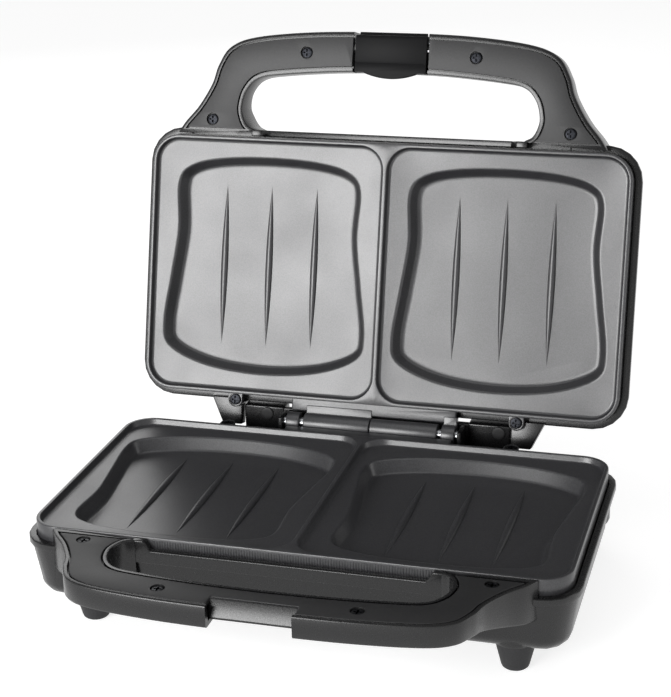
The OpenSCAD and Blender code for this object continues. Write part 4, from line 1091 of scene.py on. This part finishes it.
def latch():
    """The latch, folded away: barrel, arm, hook and a thumb tab with a rounded end."""
    top, low = LATCH_Z - 1.6, LATCH_Z - 1.6 - LATCH_T
    hook_y = LATCH_Y + CATCH_H + 0.4 + LATCH_Z - RIM_Z
    y = LATCH_Y
    barrel = [
        (y + LATCH_BARREL * math.cos(a), LATCH_Z + LATCH_BARREL * math.sin(a))
        for a in [math.radians(-20 + 10 * k) for k in range(21)]
    ]
    profile = barrel + [
        (y - LATCH_BARREL, LATCH_Z - 1.6), (y - LATCH_BARREL + 0.3, low + 1), (y - LATCH_BARREL + 1.1, low + 0.25),
        (y - LATCH_BARREL + 2.2, low), (hook_y - 3.5, low), (hook_y - 2.6, low + 0.5), (hook_y - 1.7, low),
        (hook_y + 2.6, low), (hook_y + 2.6, LATCH_Z + 2.2), (hook_y, LATCH_Z + 2.2), (hook_y, top),
        (y + 2.6, top), (y + 3.3, LATCH_Z - 1.4),
    ]
    body = loft("latch", [[(x, y, z) for y, z in profile] for x in (-LATCH_HALF, LATCH_HALF)])
    round_edges(body, 0.4, 2, 50)
    reach, half, r = LATCH_REACH, 15.5, 40
    arc = [
        (r * math.sin(a), y + reach - r + r * math.cos(a))
        for a in [math.asin(half / r) * (1 - k / 10) for k in range(21)]
    ]
    root = y + reach - 8
    corner = 1.2
    outline = [(-half, root), (half, root), (half, arc[0][1] - corner)] + [
        (x * (1 - 0.4 / half) if abs(x) == half else x, yy) for x, yy in arc
    ] + [(-half, arc[-1][1] - corner)]
    tab = prism("tab", outline, low, top)
    round_edges(tab, 0.6, 3, 30)
    bore = rod("bore", (-30, y, LATCH_Z), (30, y, LATCH_Z), 1.55, 32)
    heel = block("heel", (1 - LATCH_HALF, 2.5, 0), (LATCH_HALF - 1, 5.18, 1.5))
    heel.data.transform(Matrix.Translation((0, y, LATCH_Z)) @ Matrix.Rotation(math.radians(153), 4, "X"))
    return cut(weld(body, tab, heel), bore)


# Feet, plugs and the lid's small pieces


def foot():
    """A rubber foot: a cone with a rounded rim at the floor and a hollow for the screw's head."""
    profile = [
        (1.75, -4), (3.2, -4), (3.2, -FOOT_H + 0.4), (3.5, -FOOT_H), (4.9, -FOOT_H), (5.9, -FOOT_H + 0.25),
        (6.6, -FOOT_H + 0.9), (7.0, -FOOT_H + 2), (10.1, -0.5), (10.2, -0.1), (10, 0), (1.75, 0),
    ]
    vertices = 64
    loops = [
        [
            (r * math.cos(2 * math.pi * k / vertices), r * math.sin(2 * math.pi * k / vertices), z)
            for k in range(vertices)
        ]
        for r, z in profile
    ]
    return ring("foot", loops)


def ring(name, loops):
    """A body with a hole through it: a skin over loops that ends where it starts."""
    piece = sheet_of(name, loops)
    only(piece)
    bpy.ops.object.mode_set(mode="EDIT")
    bpy.ops.mesh.select_all(action="DESELECT")
    mesh = bmesh.from_edit_mesh(piece.data)
    cap = max(mesh.faces, key=lambda face: len(face.verts))
    cap.select = True
    bmesh.update_edit_mesh(piece.data)
    bpy.ops.mesh.delete(type="ONLY_FACE")
    select_boundary(piece)
    bpy.ops.mesh.bridge_edge_loops()
    bpy.ops.mesh.select_all(action="SELECT")
    bpy.ops.mesh.normals_make_consistent(inside=False)
    bpy.ops.object.mode_set(mode="OBJECT")
    return piece


def plug(x):
    """A push-in plug in a tower's front face: a low domed disc on its stem."""
    piece = turned_piece(
        "plug", [(1.5, -2.4), (2.95, -2.4), (2.95, 0), (3.7, 0), (3.7, 0.5), (3.45, 0.85), (2.8, 0.98), (1.4, 1)]
    )
    piece.data.transform(
        Matrix.Translation((x, HINGE_Y + 9, HINGE_Z)) @ Matrix.Rotation(math.pi / 2, 4, "X")
    )
    return piece


def lens(x):
    """A domed indicator lens with a flange behind the wall, drawn on the closed lid's top."""
    low = LID_H - WALL
    piece = turned_piece(
        "lens",
        [(1.5, -1), (3.8, -1), (3.8, 0), (3, 0), (3, WALL + 0.3), (2.8, WALL + 0.65), (2.1, WALL + 0.9), (1, WALL + 1)],
        40,
    )
    piece.data.transform(Matrix.Translation((x, -42, low)))
    return piece


def panel():
    """The steel panel on the lid's top, with a bevelled edge."""
    outline = rounded_rect(206, 80, 12, 144)
    steps = [(-0.5, LID_H - 1), (0, LID_H - 1), (0, LID_H - 0.55), (-0.3, LID_H - 0.22), (-0.6, LID_H - 0.2)]
    piece = loft("panel", rings(outline, steps))
    piece.data.transform(Matrix.Translation((0, 6, 0)))
    return piece


# Put the pieces in their places

settle(plate(HINGE_Z), "plate_lower", "base", BASE, COAT, ["base_plate"])
settle(plate(-HINGE_Z), "plate_upper", "lid", TURNED, COAT, ["lid_plate"])
settle(base_housing(), "housing_lower", "base", BASE, HOUSING, ["base_housing"])
settle(lid_housing(), "housing_upper", "lid", TURNED, HOUSING, ["lid_housing"])
settle(cover(BASE_NOTCH + 0.7, False), "cover_lower", "base", BASE, COVER, ["base_handle_cover"])

both = cover(LID_NOTCH + 0.3, True)
for side, node in ((-1, "lid_handle_cover_left"), (1, "lid_handle_cover_right")):
    half = both.copy()
    half.data = both.data.copy()
    bpy.context.scene.collection.objects.link(half)
    # the lid's pieces are turned over, so the left cover is drawn on the right
    away = block("away", (0, -200, -20), (200, 0, 20)) if side > 0 else block("away", (-200, -200, -20), (0, 0, 20))
    settle(cut(half, away), node.replace("lid_handle_", ""), "lid", TURNED, COVER, [node])
bpy.data.objects.remove(both)

cover_screw = copy_at(cross_screw(3, 1.4, 7.5), [(x, y, RIM_Z - 0.5) for x, y in SCREW_PLACES])
twin = cover_screw.copy()
twin.data = cover_screw.data.copy()
bpy.context.scene.collection.objects.link(twin)
settle(cover_screw, "cover_screws_lower", "base", BASE, BLACK_ZINC, ["base_handle_screws"])
settle(twin, "cover_screws_upper", "lid", TURNED, BLACK_ZINC, ["lid_handle_screws"])

plate_screw = copy_at(cross_screw(3.1, 1.7, 12), [(s * EAR_X, EAR_Y, RIM_Z - 0.6) for s in (-1, 1)])
twin = plate_screw.copy()
twin.data = plate_screw.data.copy()
bpy.context.scene.collection.objects.link(twin)
settle(plate_screw, "plate_screws_lower", "base", BASE, BLACK_ZINC, ["base_plate_screws"])
settle(twin, "plate_screws_upper", "lid", TURNED, BLACK_ZINC, ["lid_plate_screws"])

settle(latch(), "latch_clip_piece", "latch_clip", LID, LATCH, ["latch"])

FEET = {
    "foot_front_left": (-107.6, -57.4), "foot_front_right": (107.6, -57.4),
    "foot_rear_left": (-121.4, 76), "foot_rear_right": (121.4, 76),
}
pattern_foot = foot()
for node, (x, y) in FEET.items():
    twin = pattern_foot.copy()
    twin.data = pattern_foot.data.copy()
    bpy.context.scene.collection.objects.link(twin)
    twin.data.transform(Matrix.Translation((x, y, -BASE_H)))
    settle(twin, f"{node}_piece", "base", BASE, RUBBER, [node])
bpy.data.objects.remove(pattern_foot)

settle(join(plug(-63), plug(70)), "tower_plugs", "base", BASE, COVER, ["base_tower_plugs"])
settle(lens(-13), "lens_power", "lid", LID, RED, ["lid_power_lens"])
settle(lens(13), "lens_ready", "lid", LID, GREEN, ["lid_ready_lens"])
settle(panel(), "top_panel", "lid", LID, BRUSHED, ["lid_panel"])


# Floor, backdrop and light


def pale_world():
    """A pale room: white at the horizon, where it meets the floor, and dimmer overhead."""
    world = bpy.data.worlds.new("studio")
    bpy.context.scene.world = world
    world.use_nodes = True
    background = world.node_tree.nodes["Background"]
    way = add(world, "ShaderNodeTexCoord")
    height = add(world, "ShaderNodeSeparateXYZ", None, Vector=way.outputs["Generated"])
    level = add(
        world, "ShaderNodeMapRange", {"From Min": 0.08, "From Max": 0.34, "To Min": 1.0, "To Max": 0.3},
        Value=height.outputs["Z"],
    )
    world.node_tree.links.new(level.outputs["Result"], background.inputs["Color"])


def add_floor():
    """A white paper floor, lit from below for the eye and in reflections, that keeps the object's shadow."""
    deselect()
    bpy.ops.mesh.primitive_plane_add(size=40)
    floor = bpy.context.object
    floor.name = "floor"
    material, shader = new_material("paper_floor", "#f4f4f4", 0.9)
    tree = material.node_tree
    floor.data.materials.append(material)
    glow = add(material, "ShaderNodeEmission", {"Color": (1, 1, 1, 1), "Strength": 1.56})
    path = add(material, "ShaderNodeLightPath")
    seen = path.outputs["Is Camera Ray"]
    for other in ("Is Glossy Ray", "Is Transmission Ray"):
        either = add(material, "ShaderNodeMath", {"operation": "MAXIMUM"})
        tree.links.new(seen, either.inputs[0])
        tree.links.new(path.outputs[other], either.inputs[1])
        seen = either.outputs[0]
    share = add(material, "ShaderNodeMath", {"operation": "MULTIPLY"})
    share.inputs[1].default_value = 0.5
    tree.links.new(seen, share.inputs[0])
    mixed = add(material, "ShaderNodeMixShader")
    tree.links.new(share.outputs[0], mixed.inputs[0])
    tree.links.new(shader.outputs[0], mixed.inputs[1])
    tree.links.new(glow.outputs[0], mixed.inputs[2])
    tree.links.new(mixed.outputs[0], tree.nodes["Material Output"].inputs["Surface"])


def add_softbox(name, azimuth, elevation, distance, size, radiance, target=(0, 0, 0.1)):
    """A rectangular soft light that faces the object; azimuth 0 is in front, positive to the right."""
    a, e = math.radians(azimuth), math.radians(elevation)
    target = Vector(target)
    way = Vector((math.sin(a) * math.cos(e), -math.cos(a) * math.cos(e), math.sin(e)))
    data = bpy.data.lights.new(name, "AREA")
    data.shape = "RECTANGLE"
    data.size, data.size_y = size
    data.energy = radiance * math.pi * size[0] * size[1]
    lamp = bpy.data.objects.new(name, data)
    bpy.context.scene.collection.objects.link(lamp)
    lamp.visible_camera = False
    lamp.matrix_world = Matrix.Translation(target + way * distance) @ way.to_track_quat("Z", "Y").to_matrix().to_4x4()
    return lamp


bpy.context.scene.view_settings.view_transform = "Standard"
pale_world()
add_floor()
add_softbox("key_left", -23, 14, 1.3, (0.66, 0.62), 14)
add_softbox("top", 0, 80, 1.4, (1.4, 1.0), 0.8)
add_softbox("rim_left", -150, 24, 1.4, (0.7, 0.5), 2.5)
add_softbox("rim_right", 100, 18, 1.2, (0.25, 0.9), 2.2)

bpy.context.view_layer.update()
